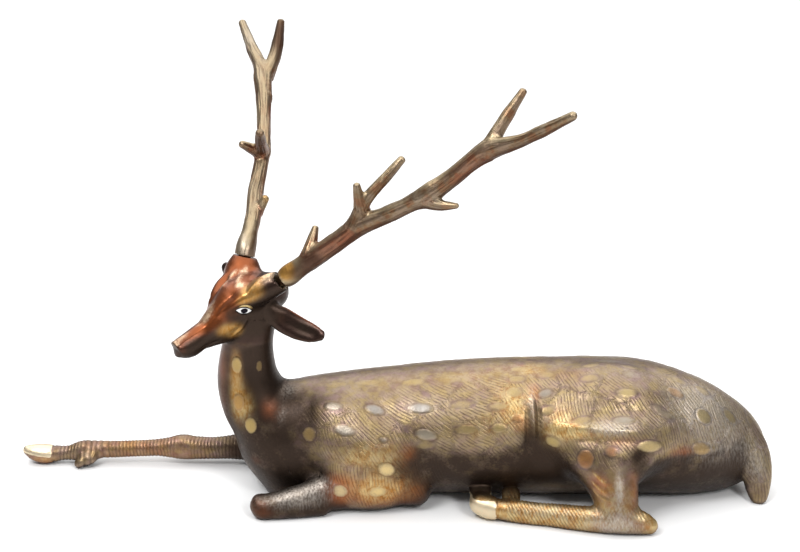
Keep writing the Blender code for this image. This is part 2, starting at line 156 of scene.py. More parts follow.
@dataclass(frozen=True)
class Limb:
    """One run of a casting: oval sections along stations.

    Each station is (x, y, z, half_width, half_depth). The width lies along side, and the depth
    is square to both side and the line. Caps are the lengths of the rounded ends.
    """

    stations: tuple[Station, ...]
    side: Triple = (0.0, 1.0, 0.0)
    blend: float = 6.0
    caps: tuple[float, float] = (4.0, 4.0)
    samples_per_span: int = 5
    ring_points: int = 14

    def samples(self) -> LimbSamples:
        """Return the samples of a smooth curve through the stations.

        Returns:
            The middles, sizes and directions of close sections, and how far along each is.
        """
        stations = np.array(self.stations, dtype=float)
        padded = np.vstack((2 * stations[0] - stations[1], stations, 2 * stations[-1] - stations[-2]))
        steps = np.linspace(0, 1, self.samples_per_span, endpoint=False)[:, None]
        runs = []
        for before, start, end, after in zip(padded, padded[1:], padded[2:], padded[3:]):
            runs.append(0.5 * (2 * start + (end - before) * steps
                               + (2 * before - 5 * start + 4 * end - after) * steps ** 2
                               + (3 * start - before - 3 * end + after) * steps ** 3))
        samples = np.vstack(runs + [stations[-1:]])
        centres, sizes = samples[:, :3], samples[:, 3:]
        along = np.gradient(centres, axis=0)
        along /= np.linalg.norm(along, axis=1, keepdims=True)
        side = np.array(self.side) - along * (along @ np.array(self.side))[:, None]
        side /= np.linalg.norm(side, axis=1, keepdims=True)
        steps_between = np.linalg.norm(np.diff(centres, axis=0), axis=1)
        run = np.concatenate(((0,), np.cumsum(steps_between)))
        return LimbSamples(centres, sizes, along, side, np.cross(along, side), run)

    def locate(self, points: np.ndarray) -> tuple[np.ndarray, np.ndarray, np.ndarray]:
        """Find where points lie about the limb.

        Args:
            points: One point a row.

        Returns:
            The distance from the limb's skin, the run along the limb, and the turn round it.
        """
        samples = self.samples()
        nearest = np.full(len(points), np.inf)
        runs = np.zeros(len(points))
        turns = np.zeros(len(points))
        last = len(samples.centres) - 2
        for index in range(last + 1):
            centre = samples.centres[index]
            span = samples.centres[index + 1] - centre
            size_here, size_next = samples.sizes[index], samples.sizes[index + 1]
            reach = 1.5 * max(size_here.max(), size_next.max()) + self.blend + 6
            share = (points - centre) @ span / (span @ span)
            held = np.clip(share, 0, 1)
            offset = points - centre - held[:, None] * span
            near = np.flatnonzero((offset ** 2).sum(axis=1) < reach ** 2)
            if len(near) == 0:
                continue
            share, held, offset = share[near], held[near], offset[near]
            size = size_here + held[:, None] * (size_next - size_here)
            across, deep = offset @ samples.side[index], offset @ samples.deep[index]
            local = np.stack((across, deep, offset @ samples.along[index]), axis=1)
            cap = np.full(len(near), size.mean())
            if index == 0:
                cap[share < 0] = self.caps[0]
            if index == last:
                cap[share > 1] = self.caps[1]
            radii = np.column_stack((size, cap))
            swell = np.linalg.norm(local / radii, axis=1)
            slope = np.linalg.norm(local / radii ** 2, axis=1)
            distance = swell * (swell - 1) / np.maximum(slope, 1e-9)
            closer = distance < nearest[near]
            chosen = near[closer]
            nearest[chosen] = distance[closer]
            runs[chosen] = samples.run[index] + held[closer] * np.linalg.norm(span)
            turns[chosen] = np.arctan2(deep[closer], across[closer])
        return nearest, runs, turns

    def mirrored(self) -> "Limb":
        """Return the limb on the deer's other side."""
        stations = tuple((x, -y, z, width, depth) for x, y, z, width, depth in self.stations)
        return replace(self, stations=stations, side=(self.side[0], -self.side[1], self.side[2]))

    def add_tube(self, mesh: bmesh.types.BMesh) -> None:
        """Loft the limb into a mesh as a closed tube with a point at each end.

        Args:
            mesh: The mesh that gets the tube.
        """
        samples = self.samples()
        rings = []
        for centre, size, side, deep in zip(samples.centres, samples.sizes, samples.side, samples.deep):
            ring = []
            for step in range(self.ring_points):
                turn = 2 * math.pi * step / self.ring_points
                across = math.cos(turn) * size[0] * side
                ring.append(mesh.verts.new(centre + across + math.sin(turn) * size[1] * deep))
            rings.append(ring)
        for ring, following in zip(rings, rings[1:]):
            for step in range(self.ring_points):
                after = (step + 1) % self.ring_points
                mesh.faces.new((ring[step], ring[after], following[after], following[step]))
        ends = ((rings[0][::-1], samples.centres[0] - samples.along[0] * self.caps[0]),
                (rings[-1], samples.centres[-1] + samples.along[-1] * self.caps[1]))
        for ring, place in ends:
            tip = mesh.verts.new(place)
            for step in range(self.ring_points):
                mesh.faces.new((ring[step], ring[(step + 1) % self.ring_points], tip))


def soft_union(points: np.ndarray, limbs: Sequence[Limb]) -> np.ndarray:
    """Return the distance from points to the blended skin of all the limbs.

    Args:
        points: One point a row.
        limbs: What the skin goes round.

    Returns:
        One distance a point, below zero inside.
    """
    total = np.full(len(points), 60.0)
    for limb in limbs:
        stations = np.array(limb.stations)
        margin = stations[:, 3:].max() + limb.blend + 6
        low, high = stations[:, :3].min(axis=0) - margin, stations[:, :3].max(axis=0) + margin
        near = np.flatnonzero(np.all((points > low) & (points < high), axis=1))
        distance = limb.locate(points[near])[0]
        held = total[near]
        overlap = np.maximum(limb.blend - np.abs(held - distance), 0) / limb.blend
        total[near] = np.minimum(held, distance) - overlap ** 2 * limb.blend / 4
    return total


@dataclass(frozen=True)
class HeadAxes:
    """The head's own forward, left and up, measured from between the eyes."""

    turn: float = math.radians(35)
    dip: float = math.radians(24)
    origin: Triple = (-113.0, -10.0, 139.0)

    def matrix(self) -> np.ndarray:
        """Return the head's own directions in the deer's axes.

        Returns:
            Forward, left and up as rows.
        """
        level = np.array([-math.cos(self.turn), -math.sin(self.turn), 0.0])
        left = np.array([math.sin(self.turn), -math.cos(self.turn), 0.0])
        up = np.array([0.0, 0.0, 1.0])
        forward = math.cos(self.dip) * level - math.sin(self.dip) * up
        return np.array((forward, left, math.sin(self.dip) * level + math.cos(self.dip) * up))

    def place(self, local: Triple | np.ndarray) -> np.ndarray:
        """Turn a (forward, left, up) place into the deer's axes."""
        return np.array(self.origin) + self.direction(local)

    def direction(self, local: Triple | np.ndarray) -> np.ndarray:
        """Turn a (forward, left, up) direction into the deer's axes."""
        return np.array(local, dtype=float) @ self.matrix()

    def local(self, points: np.ndarray) -> np.ndarray:
        """Turn points into (forward, left, up) places."""
        return (points - np.array(self.origin)) @ self.matrix().T

    def limb(self, stations: Iterable[Station], along_side: Triple = (0, 1, 0),
             **options: object) -> Limb:
        """Make a limb from stations given as (forward, left, up, half_width, half_depth).

        Args:
            stations: The stations in the head's axes.
            along_side: The direction of the widths.
            options: What else the limb is made with.

        Returns:
            The limb in the deer's axes.
        """
        placed = [(*self.place(station[:3]), *station[3:]) for station in stations]
        return Limb(tuple(placed), tuple(self.direction(along_side)), **options)


HEAD = HeadAxes()


class Skin:
    """A fine closed skin, whose points are worked on as arrays in millimetres."""

    def __init__(self, obj: bpy.types.Object) -> None:
        """Read the points and edges of an object's mesh."""
        self.obj = obj
        self.read()

    def read(self) -> None:
        """Read the mesh again after its faces have changed."""
        mesh = self.obj.data
        self.points = np.empty(len(mesh.vertices) * 3, dtype=np.float32)
        mesh.vertices.foreach_get("co", self.points)
        self.points = self.points.reshape(-1, 3).astype(float) / MM
        edges = np.empty(len(mesh.edges) * 2, dtype=np.int32)
        mesh.edges.foreach_get("vertices", edges)
        self.edges = edges.reshape(-1, 2)
        self.marks: dict[Mark, np.ndarray] = {}

    def write(self) -> None:
        """Put the points back into the mesh."""
        self.obj.data.vertices.foreach_set("co", (self.points * MM).astype(np.float32).ravel())
        self.obj.data.update()

    def normals(self) -> np.ndarray:
        """Return the outward directions at the points.

        Returns:
            One unit direction a point.
        """
        self.write()
        normals = np.empty(len(self.points) * 3, dtype=np.float32)
        self.obj.data.vertex_normals.foreach_get("vector", normals)
        return normals.reshape(-1, 3).astype(float)

    def smooth(self, share: float) -> None:
        """Move each point towards the middle of its neighbours.

        Args:
            share: How much of the way it goes.
        """
        first, second = self.edges[:, 0], self.edges[:, 1]
        count = len(self.points)
        degree = np.bincount(first, minlength=count) + np.bincount(second, minlength=count)
        for axis in range(3):
            values = self.points[:, axis]
            total = (np.bincount(first, values[second], minlength=count)
                     + np.bincount(second, values[first], minlength=count))
            self.points[:, axis] = values + share * (total / degree - values)

    def settle(self, limbs: Sequence[Limb], rounds: int = 4) -> None:
        """Move the points onto the soft union of limbs, smoothing them in between.

        Args:
            limbs: What the skin goes round.
            rounds: How often the points are moved.
        """
        for round_index in range(rounds):
            if round_index < rounds - 1:
                self.smooth(0.5)
            distance = np.clip(soft_union(self.points, limbs), -3, 3)
            self.points -= self.normals() * distance[:, None]
        self.write()

    def lift(self, heights: np.ndarray) -> None:
        """Move the points outwards by heights."""
        self.points += self.normals() * heights[:, None]
        self.write()

    def mark(self, kind: Mark, values: np.ndarray) -> None:
        """Keep the strongest of the values given to a mark at each point."""
        self.marks[kind] = np.maximum(self.marks.get(kind, values), values)

    def write_marks(self) -> None:
        """Store the marks in the mesh."""
        for kind, values in self.marks.items():
            shape, slot = ("FLOAT_VECTOR", "vector") if values.ndim == 2 else ("FLOAT", "value")
            layer = self.obj.data.attributes.new(kind.value, shape, "POINT")
            layer.data.foreach_set(slot, values.astype(np.float32).ravel())


def link_mesh(mesh: bmesh.types.BMesh, name: str) -> bpy.types.Object:
    """Make an object of a mesh being edited, and free that.

    Args:
        mesh: The mesh being edited.
        name: The name of the object.

    Returns:
        The object.
    """
    data = bpy.data.meshes.new(name)
    mesh.to_mesh(data)
    mesh.free()
    obj = bpy.data.objects.new(name, data)
    bpy.context.scene.collection.objects.link(obj)
    return obj


def apply_modifiers(obj: bpy.types.Object) -> None:
    """Replace an object's mesh with its evaluated mesh, and drop its modifiers.

    Args:
        obj: The object.
    """
    graph = bpy.context.evaluated_depsgraph_get()
    mesh = bpy.data.meshes.new_from_object(obj.evaluated_get(graph))
    previous = obj.data
    obj.modifiers.clear()
    obj.data = mesh
    bpy.data.meshes.remove(previous)


def raise_skin(name: str, limbs: Sequence[Limb], grid: float) -> Skin:
    """Build one fine closed skin round limbs.

    Args:
        name: The name of the piece.
        limbs: What the skin goes round.
        grid: The spacing of the faces before they are halved, in millimetres.

    Returns:
        The skin.
    """
    mesh = bmesh.new()
    for limb in limbs:
        limb.add_tube(mesh)
    bmesh.ops.scale(mesh, vec=(MM, MM, MM), verts=mesh.verts)
    bmesh.ops.recalc_face_normals(mesh, faces=mesh.faces)
    obj = link_mesh(mesh, name)
    remesh = obj.modifiers.new("One skin", "REMESH")
    remesh.mode = "VOXEL"
    remesh.voxel_size = grid * MM
    apply_modifiers(obj)
    skin = Skin(obj)
    skin.settle(limbs)
    finer = obj.modifiers.new("Finer", "SUBSURF")
    finer.levels = finer.render_levels = 1
    apply_modifiers(obj)
    skin.read()
    return skin


def thin_out(obj: bpy.types.Object, triangles: int) -> None:
    """Collapse edges where the skin is plain.

    Args:
        obj: The object whose mesh it is.
        triangles: About how many triangles are left.
    """
    obj.data.calc_loop_triangles()
    thinner = obj.modifiers.new("Thin out", "DECIMATE")
    thinner.ratio = min(1, triangles / len(obj.data.loop_triangles))
    apply_modifiers(obj)


def flatten_underside(obj: bpy.types.Object, reach: float = 0.05) -> None:
    """Press what is below the ground or barely above it onto the ground.

    Args:
        obj: The object.
        reach: How far above the ground is barely above it, in millimetres.
    """
    skin = Skin(obj)
    skin.points[:, 2] = np.where(skin.points[:, 2] < reach, 0, skin.points[:, 2])
    skin.write()


def nearest_tree(points: np.ndarray) -> KDTree:
    """Return a tree that finds the nearest of some points.

    Args:
        points: One point a row.

    Returns:
        The tree, which numbers the points in their order.
    """
    tree = KDTree(len(points))
    for index, point in enumerate(points.tolist()):
        tree.insert(point, index)
    tree.balance()
    return tree


@dataclass(frozen=True)
class Socket:
    """The seat of an antler: a drilled hole in a pedicle that is cut off square."""

    mouth: Triple  # in the head's axes
    axis: Triple
    bore_radius: float
    peg_radius: float
    play: float  # how far the antler's foot stands off the rim
    bore_depth: float = 12.0
    peg_end: float = 11.6  # how deep the peg goes
    cut_radius: float = 12.5
    cut_length: float = 14.0
    clearance: float = 3.0  # how far the drill reaches past the mouth

    def place(self) -> np.ndarray:
        """Return the middle of the mouth."""
        return HEAD.place(self.mouth)

    def out(self) -> np.ndarray:
        """Return the direction out of the socket."""
        direction = HEAD.direction(self.axis)
        return direction / np.linalg.norm(direction)

    def cylinder(self, name: str, radius: float, start: float, end: float) -> bpy.types.Object:
        """Add a closed cylinder square to the mouth.

        Args:
            name: The name of the cylinder.
            radius: Its radius.
            start: How far past the mouth it starts; below zero is inside the head.
            end: How far past the mouth it ends.

        Returns:
            The cylinder.
        """
        turn = Vector(self.out()).to_track_quat("Z", "Y")
        seat = Matrix.LocRotScale(Vector(self.place() * MM), turn, None)
        middle = Matrix.Translation((0, 0, (start + end) / 2 * MM))
        mesh = bmesh.new()
        bmesh.ops.create_cone(mesh, cap_ends=True, segments=48, radius1=radius * MM, radius2=radius * MM,
                              depth=(end - start) * MM, matrix=seat @ middle)
        return link_mesh(mesh, name)

    def square_off(self, points: np.ndarray, level: float, outwards: bool) -> np.ndarray:
        """Push points that lie past a level across the socket back onto it.

        Args:
            points: The points of a skin.
            level: How far past the mouth the flat face is.
            outwards: Whether it is the points further out that are moved.

        Returns:
            The moved points.
        """
        offset = points - self.place()
        height = offset @ self.out()
        radius = np.linalg.norm(offset - height[:, None] * self.out(), axis=1)
        beyond = height - level if outwards else level - height
        moved = (beyond > 0) & (beyond < self.cut_length) & (radius < self.cut_radius)
        points = points.copy()
        shift = np.where(moved, level - height, 0.0)
        return points + shift[:, None] * self.out()


SOCKETS = {
    Side.LEFT: Socket((-30.1, 24.7, 7.5), (-0.73, 0.58, 0.37), bore_radius=5.7, peg_radius=4.7, play=4.0),
    Side.RIGHT: Socket((-31.2, -21.3, 12.0), (-0.668, -0.091, 0.739), bore_radius=4.6, peg_radius=4.1,
                       play=0.9),
}


def combine(obj: bpy.types.Object, other: bpy.types.Object, operation: str) -> None:
    """Join another closed object to an object, or cut it away, and delete that other.

    Args:
        obj: The object that is kept.
        other: The object that goes.
        operation: UNION or DIFFERENCE.
    """
    modifier = obj.modifiers.new(other.name, "BOOLEAN")
    modifier.operation = operation
    modifier.solver = "EXACT"
    modifier.object = other
    apply_modifiers(obj)
    mesh = other.data
    bpy.data.objects.remove(other)
    bpy.data.meshes.remove(mesh)


def fold(points: np.ndarray, side: float) -> np.ndarray:
    """Fold points over onto one side of the deer.

    Args:
        points: One point a row.
        side: A second number that is on that side.

    Returns:
        The folded points.
    """
    points = points.copy()
    points[:, 1] = np.copysign(points[:, 1], side)
    return points


@dataclass(frozen=True)
class Line:
    """A groove or a ridge drawn through places on a skin."""

    places: tuple[Triple, ...]
    width: float
    height: float  # below zero for a groove
    kind: Mark | None = None  # the mark that it leaves
    both: bool = True  # whether it is on the right side too

    def share(self, points: np.ndarray) -> np.ndarray:
        """Return how much of the line's height points get, less towards its ends.

        Args:
            points: One point a row.

        Returns:
            0 to 1 for each point.
        """
        places = np.array(self.places, dtype=float)
        if self.both:
            points = fold(points, places[0, 1])
        nearest = np.full(len(points), np.inf)
        run = np.zeros(len(points))
        for index, (start, end) in enumerate(zip(places, places[1:])):
            span = end - start
            held = np.clip((points - start) @ span / (span @ span), 0, 1)
            gap = np.linalg.norm(points - start - held[:, None] * span, axis=1)
            run = np.where(gap < nearest, (index + held) / (len(places) - 1), run)
            nearest = np.minimum(nearest, gap)
        ends = smooth_step(run, -0.1, 0.25) * smooth_step(run, 1.1, 0.75)
        return np.exp(-(nearest / self.width) ** 2) * ends


@dataclass(frozen=True)
class Patch:
    """A soft patch round a place, with its strength."""

    place: Triple
    radii: Triple
    strength: float = 1.0

    def amount(self, points: np.ndarray) -> np.ndarray:
        """Return how strong the patch is at points."""
        reach = (points - np.array(self.place)) / np.array(self.radii)
        return self.strength * np.exp(-(reach ** 2).sum(axis=1))


@dataclass(frozen=True)
class Tint:
    """A soft patch of colour."""

    kind: Mark
    place: Triple
    radii: Triple
    strength: float = 1.0
    both: bool = True  # whether it is on the right side too

    def amount(self, points: np.ndarray) -> np.ndarray:
        """Return how strong the colour is at points."""
        points = fold(points, self.place[1]) if self.both else points
        return Patch(self.place, self.radii, self.strength).amount(points)


def tints(kind: Mark, *rows: tuple) -> tuple[Tint, ...]:
    """Make the tints of one kind from places, radii, strengths and whether on both sides."""
    return tuple(Tint(kind, *row) for row in rows)


@dataclass(frozen=True)
class Spot:
    """A polished oval on the coat, with a cut outline.

    The turn is how far its length slopes down towards the tail, in degrees.
    """

    place: Triple
    length: float
    width: float
    turn: float = 0.0
    tone: float = 0.0
    shown: float = 1.0


TRUNK = Limb((
    (-86, 0, 34, 24, 27), (-70, 0, 38.5, 35, 38.6), (-35, 0, 41.2, 41, 42.2),
    (0, 0, 43, 44, 44.2), (35, 0, 45, 45, 46), (70, 0, 46.1, 46, 47),
    (105, 0, 46, 47, 47.6), (137, 0, 46, 47, 47.6), (164, 0, 45.3, 46, 46.2),
    (190, 0, 40, 41, 42.6), (206, 0, 36, 36, 38), (221, 0, 31.5, 29, 31.8),
    (234, 0, 28.2, 19.5, 21.3)), blend=8, caps=(8, 7))
TAIL = Limb((
    (232, -4, 49, 9, 8), (242.5, -12, 35, 10.6, 8), (246, -18, 22, 10.4, 7.5),
    (246.4, -23, 10, 8.6, 6), (247, -27, 3, 5.4, 4.5)), side=(1, 0, 0), blend=4, caps=(3, 3))
NECK = Limb((
    (-98, -3, 130, 14, 15), (-102.5, -3, 112, 15, 16.5), (-104.5, -2, 96, 16.5, 18.8),
    (-104, -1, 80, 20, 21.2), (-98.8, 0, 64, 25, 23.8), (-88.5, 0, 48, 29, 26),
    (-80.5, 0, 32, 31, 26), (-74.5, 0, 16, 30, 25), (-70, 0, 6, 27, 21)), blend=7, caps=(4, 5))


def head_limbs() -> list[Limb]:
    """Return the limbs of the head, whose lefts are below zero on the right side.

    Returns:
        The skull, muzzle, jaw, brows, pedicles and ears.
    """
    skull = HEAD.limb(((-30, 0, -9.5, 13, 12.5), (-20, 0, -6, 16, 15.5), (-8, 0.6, -3, 15.9, 17),
                       (4, 1.1, -3.4, 12.9, 13.5), (14, 0.8, -5.6, 9.6, 10.9)), blend=6)
    muzzle = HEAD.limb(((8, 0.4, -5.5, 10.4, 10.4), (18, 0.2, -5.8, 8.9, 8.9), (28, 0, -6.1, 7.6, 8.5),
                        (37.5, 0, -6.4, 7.2, 8.6), (43.5, 0, -4.4, 6.4, 6.9), (47.5, 0, -3.4, 5.8, 5.6)),
                       blend=5, caps=(4, 2.5))
    jaw = HEAD.limb(((24, 0, -12.6, 4.5, 4), (14, 0, -14, 7.5, 6), (2, 0, -14.4, 10, 8),
                     (-12, 0, -14, 11, 9)), blend=5)
    brows = [
        HEAD.limb(((9, 8.2, 2, 2.4, 2.4), (3, 12.2, 6, 3.2, 3.2), (-6, 14.5, 7.6, 3.6, 3.6)),
                  blend=4, caps=(2, 2)),
        HEAD.limb(((9, -6.8, 1.8, 2.6, 2.6), (3, -11.2, 6.2, 3.2, 3.2), (-6, -14.6, 8.4, 3.8, 3.8),
                   (-14, -15, 8, 4, 4)), blend=4, caps=(2, 2)),
    ]
    pedicles = [
        HEAD.limb(((-8, 10, 3.4, 8.6, 7.6), (-18, 16.5, 5.6, 9.4, 8.6), (-25, 21.3, 6.8, 8.2, 8.2),
                   (-30.1, 24.7, 7.5, 7.4, 7.4), (-36, 29.4, 10.5, 7.4, 7.4)),
                  (0.58, 0.73, 0), blend=5, caps=(4, 2)),
        HEAD.limb(((-17, -12, -1, 13.5, 11), (-23, -17, 4.5, 12.8, 10.5), (-27.5, -20, 8.2, 9.8, 9),
                   (-31.2, -21.3, 12, 6.3, 6.3), (-35, -21.8, 16, 6.2, 6.2)),
                  (-0.748, 0.574, -0.333), blend=5, caps=(4, 2)),
    ]
    ears = [
        HEAD.limb(((-18, 13, -11, 5.8, 4.6), (-20.9, 20.5, -20.2, 7.9, 3.4), (-24.9, 29, -27, 7.5, 2.8),
                   (-29.4, 38, -31.8, 6, 2.3), (-33, 45, -33.8, 3.2, 1.6)),
                  (-0.785, -0.03, 0.56), blend=3, caps=(2, 1.5)),
        HEAD.limb(((-18, -13, -9, 6.4, 4.6), (-20, -21, -7, 7.4, 3.4), (-21.2, -30, -3.6, 7, 2.8),
                   (-22, -38, -0.4, 5.4, 2.3), (-22.6, -44.5, 2, 3, 1.6)),
                  (-0.785, 0.03, 0.56), blend=3, caps=(2, 1.5)),
    ]
    return [skull, muzzle, jaw, *brows, *pedicles, *ears]


def fore_limbs() -> list[Limb]:
    """Return the limbs of both forelegs.

    Returns:
        The left foreleg, folded under the chest, then the right one, stretched out ahead.
    """
    folded = [
        Limb(((-48, -20, 66, 8, 7), (-43, -25, 59, 20, 13), (-30, -31, 44, 30, 18),
              (-18, -34, 29, 30, 17), (-12, -34, 19, 24, 14)), side=(1, 0, 0), blend=9, caps=(4, 6)),
        Limb(((-95, -46, 7.8, 8, 8), (-85, -45.5, 8.2, 8.6, 8.6), (-68, -43, 10.5, 9.6, 10.8),
              (-50, -39, 14, 10.5, 13.5), (-30, -34.5, 16.5, 12, 15.5), (-8, -31.5, 17.5, 13, 15.5),
              (13, -33, 15.5, 12, 13.5)), blend=5, caps=(6, 9)),
        Limb(((-92, -47, 6, 8, 6), (-70, -45.5, 5.5, 7, 5.5), (-52, -43, 5.5, 7.2, 5.5)),
             blend=4, caps=(5, 3)),
    ]
    stretched = [
        Limb(((-270, 33, 10, 3.4, 3), (-264, 33, 8, 6, 5.9), (-257, 33, 7, 7.2, 7),
              (-251, 33, 7.2, 6.2, 6.2), (-245, 33, 7.6, 5.2, 5.4), (-238, 33, 8, 5.2, 5.6),
              (-229, 33, 9.4, 6.4, 7.8), (-219, 33, 10.4, 5.8, 6.6), (-200, 33, 10.8, 5.6, 6.2),
              (-178, 33, 11.8, 5.8, 6.2), (-166, 33, 12.2, 6.6, 7.6), (-157, 33, 12.5, 7.4, 9.4),
              (-147, 33, 11.8, 7.4, 8.6), (-134, 33, 11.6, 7.4, 8.2), (-120, 33, 12.5, 8.6, 9),
              (-104, 31, 14, 11, 11), (-85, 26, 22, 15, 17)), blend=5, caps=(2.5, 8)),
        Limb(((-231, 24, 3.6, 4.8, 3.3), (-228.5, 28, 6, 6.2, 4.2)), blend=3, caps=(2, 2)),
        Limb(((-223.5, 25, 5.6, 4.6, 3.4), (-222, 29, 7.4, 5.4, 4.4)), blend=4, caps=(2, 2)),
        Limb(((-52, 20, 64, 7, 7), (-50, 25, 56, 18, 12), (-50, 30, 42, 25, 16),
              (-56, 31, 28, 22, 14)), side=(1, 0, 0), blend=9, caps=(4, 6)),
    ]
    return folded + stretched


def hind_limbs() -> list[Limb]:
    """Return the limbs of both hind legs, folded, with the long bone forward along the ground.

    Returns:
        The thighs, the shanks and the short webs that join these to the belly.
    """
    thigh = Limb(((150, -15, 79, 12, 7), (147, -20, 73, 32, 14), (142, -29, 62, 45, 20),
                  (140, -38, 50, 36, 21), (139.5, -50, 37, 21, 17), (142.5, -59, 25, 15.6, 13.5),
                  (145, -66, 13, 13, 11)), side=(1, 0, 0), blend=8, caps=(6, 4))
    far_thigh = Limb(((149, 14, 66, 12, 7), (146, 19, 60, 30, 13), (142, 26, 53, 42, 17),
                      (140, 34, 44, 38, 18), (141.5, 46, 33, 27, 16), (144, 57, 22, 17.5, 13),
                      (146, 65, 12, 14, 11)), side=(1, 0, 0), blend=10, caps=(6, 4))
    shank = Limb(((166, -69.8, 5.4, 5, 5.4), (156, -69, 8.4, 7.8, 8.6), (140, -67.5, 9, 8.6, 9.2),
                  (120, -63.5, 8.2, 7.8, 8.4), (100, -58.5, 8, 7, 8), (80, -54.5, 8, 6.5, 8),
                  (68, -51.5, 7.8, 6.2, 7), (60, -49.5, 8.6, 7.6, 8), (52.6, -47, 10.5, 7, 7.2)),
                 blend=4, caps=(3, 2))
    webs = [Limb(((54.5, -47, 12, 7, 3.2), (54.5, -36, 16, 7.5, 3.6)), side=(1, 0, 0), blend=2),
            Limb(((75, -52, 11.5, 6, 2.5), (75, -39, 15, 6.5, 3)), side=(1, 0, 0), blend=2)]
    return [thigh, far_thigh, shank, shank.mirrored(), *webs, webs[0].mirrored()]


# The polished ovals of the coat, on the left side; the right side has the same ones.
SPOTS = (
    # the neck
    Spot((-110, -18, 99), 7.5, 12, tone=-0.15), Spot((-95, -16, 97), 4.5, 9, tone=-0.2, shown=0.35),
    Spot((-109, -22, 73), 8.5, 13, tone=-0.3), Spot((-101, -26, 58), 9, 12, tone=-0.1),
    # the shoulder and the upper arm
    Spot((-61, -35, 56), 10, 10, tone=-0.2, shown=0.7), Spot((-11, -44, 56), 6, 4, 10, 0.85, 0.7),
    Spot((-9, -49, 37), 12, 9.5, 25, 1.4), Spot((-15, -50, 21), 13, 8.5, -3, 1.5),
    Spot((-40, -49, 20), 10.5, 9.5, 10, 1.3),
    # the top row along the back
    Spot((-44, -11, 82), 15, 6, 2, 0.2, 0.35), Spot((-22, -12, 84), 17, 6, 2, 0.15, 0.35),
    Spot((9, -16, 86), 15, 6.5, 0, 0.2, 0.45), Spot((34, -17, 88), 14, 6, 3, 0.1, 0.3),
    Spot((82, -10, 93), 15, 6, -3, 0.2, 0.55), Spot((79, -19, 89), 11, 6.5, -4, 0.3, 0.6),
    Spot((98, -16, 91), 12, 6, -8, 0.1, 0.45), Spot((129, -10, 95), 12, 6, -3, 0.3, 0.5),
    Spot((156, -10, 94), 13, 5.5, 0, 0.35, 0.45), Spot((127, -23, 92), 12.5, 6.5, -5, 0.3, 0.6),
    Spot((156, -19, 93), 13, 7, 0, 0.7, 0.4), Spot((190, -11, 84), 10, 7, 20, 0.1, 0.4),
    # the rows along the flank
    Spot((-45, -30, 74), 13, 6.5, 8, 0.75, 0.8), Spot((-17, -32, 73), 14, 7, 18, 0.95),
    Spot((14, -33, 74), 17, 7.5, 3, 1.0), Spot((42, -33, 77), 15, 5.5, -3, 0.15, 0.4),
    Spot((66, -35, 76), 13, 5.5, -3, 0.35, 0.7), Spot((76, -28, 83), 11.5, 8, -5, 0.4, 0.8),
    Spot((-37, -42, 62), 15, 7.5, 12, 0.8, 0.85), Spot((17, -42, 59), 15, 7.5, 12, 0.7),
    Spot((44, -42, 63), 15, 6.5, -3, 0.1, 0.7), Spot((66, -43, 64), 11, 6.5, -5, 0.25, 0.9),
    Spot((17, -44, 52), 12, 6, 0, 0.05, 0.35), Spot((78, -40, 70), 8, 6, -5, -1.0, 0.8),
    # the thigh
    Spot((97, -29, 83), 10, 6, -20, 0.8, 0.8), Spot((98, -38, 75), 10, 6, -15, 0.15, 0.7),
    Spot((101, -48, 56), 11, 8, 15, 0.0, 0.9), Spot((120, -46, 71), 13, 6, -12, 0.1, 0.7),
    Spot((151, -33, 85), 14.5, 6.5, 0, 0.35, 0.9), Spot((148, -47, 72), 14, 6, -2, 0.75),
    Spot((122, -59, 49), 12, 13, 0, -0.5, 0.65), Spot((139, -60, 55), 9, 8, 0, -0.6, 0.35),
    # the rump
    Spot((175, -38, 74), 16, 6, 28, 0.6, 0.5), Spot((186, -23, 81), 13, 7.5, 18, -0.4, 0.5),
    Spot((206, -12, 77), 12, 8, 25, -0.1, 0.5), Spot((204, -29, 66), 12.5, 10, 40, 0.45),
    Spot((224, -20, 62), 13, 8, 40, 0.0, 0.7), Spot((165, -54, 56), 18, 8, 2, 1.4),
    Spot((202, -39, 47), 14, 9, 15, -0.2, 0.7),
)

# Which way the hair lies over the flank, as places along, heights and degrees down from level.
COMBS = (
    (-50, 62, 58), (-35, 48, 62), (-10, 70, 36), (-5, 52, 55), (-20, 30, 82),
    (5, 18, 88), (15, 70, 34), (35, 62, 30), (60, 66, 28), (80, 76, 52),
    (60, 88, 30), (100, 84, 58), (104, 70, 74), (120, 78, 84), (128, 60, 55),
    (105, 50, 52), (145, 80, 60), (160, 62, 52), (175, 78, 50), (185, 62, 62),
    (205, 75, 52), (212, 55, 76), (228, 58, 72), (190, 45, 84), (140, 92, 35),
)

# Where hair is cut, and how strongly.
HAIR = (
    Patch((-42, -40, 60), (24, 22, 16), 0.8), Patch((-12, -44, 48), (26, 24, 22), 1.2),
    Patch((-10, -48, 22), (36, 22, 16), 1.2), Patch((28, -40, 66), (36, 26, 15), 1.1),
    Patch((62, -42, 64), (24, 22, 20), 1.3), Patch((80, -36, 74), (12, 20, 14)),
    Patch((112, -44, 66), (26, 26, 22), 1.4), Patch((122, -30, 86), (30, 18, 10), 0.8),
    Patch((150, -48, 66), (30, 26, 16), 1.2), Patch((185, -38, 66), (28, 30, 18), 1.1),
    Patch((214, -24, 62), (18, 26, 18), 1.2), Patch((196, -14, 80), (24, 20, 10), 0.8),
    Patch((200, -34, 46), (30, 20, 10), 0.6), Patch((40, -22, 86), (90, 14, 8), 0.35),
    Patch((246, -20, 26), (16, 26, 40), 1.4),
)

# How high the dark belly reaches, as places along and heights; below it is dark patina and painted shade.
PATINA_SHADE_LINE = ((-130, 90), (-100, 84), (-84, 66), (-66, 50), (-50, 34), (-40, 18), (-30, 0), (-8, 0),
    (4, 30), (14, 43), (28, 47), (60, 49), (84, 55), (94, 60), (100, 53), (108, 42), (120, 26),
    (130, 0), (148, 0), (156, 28), (162, 43), (172, 48), (230, 47), (236, 20), (244, 0))

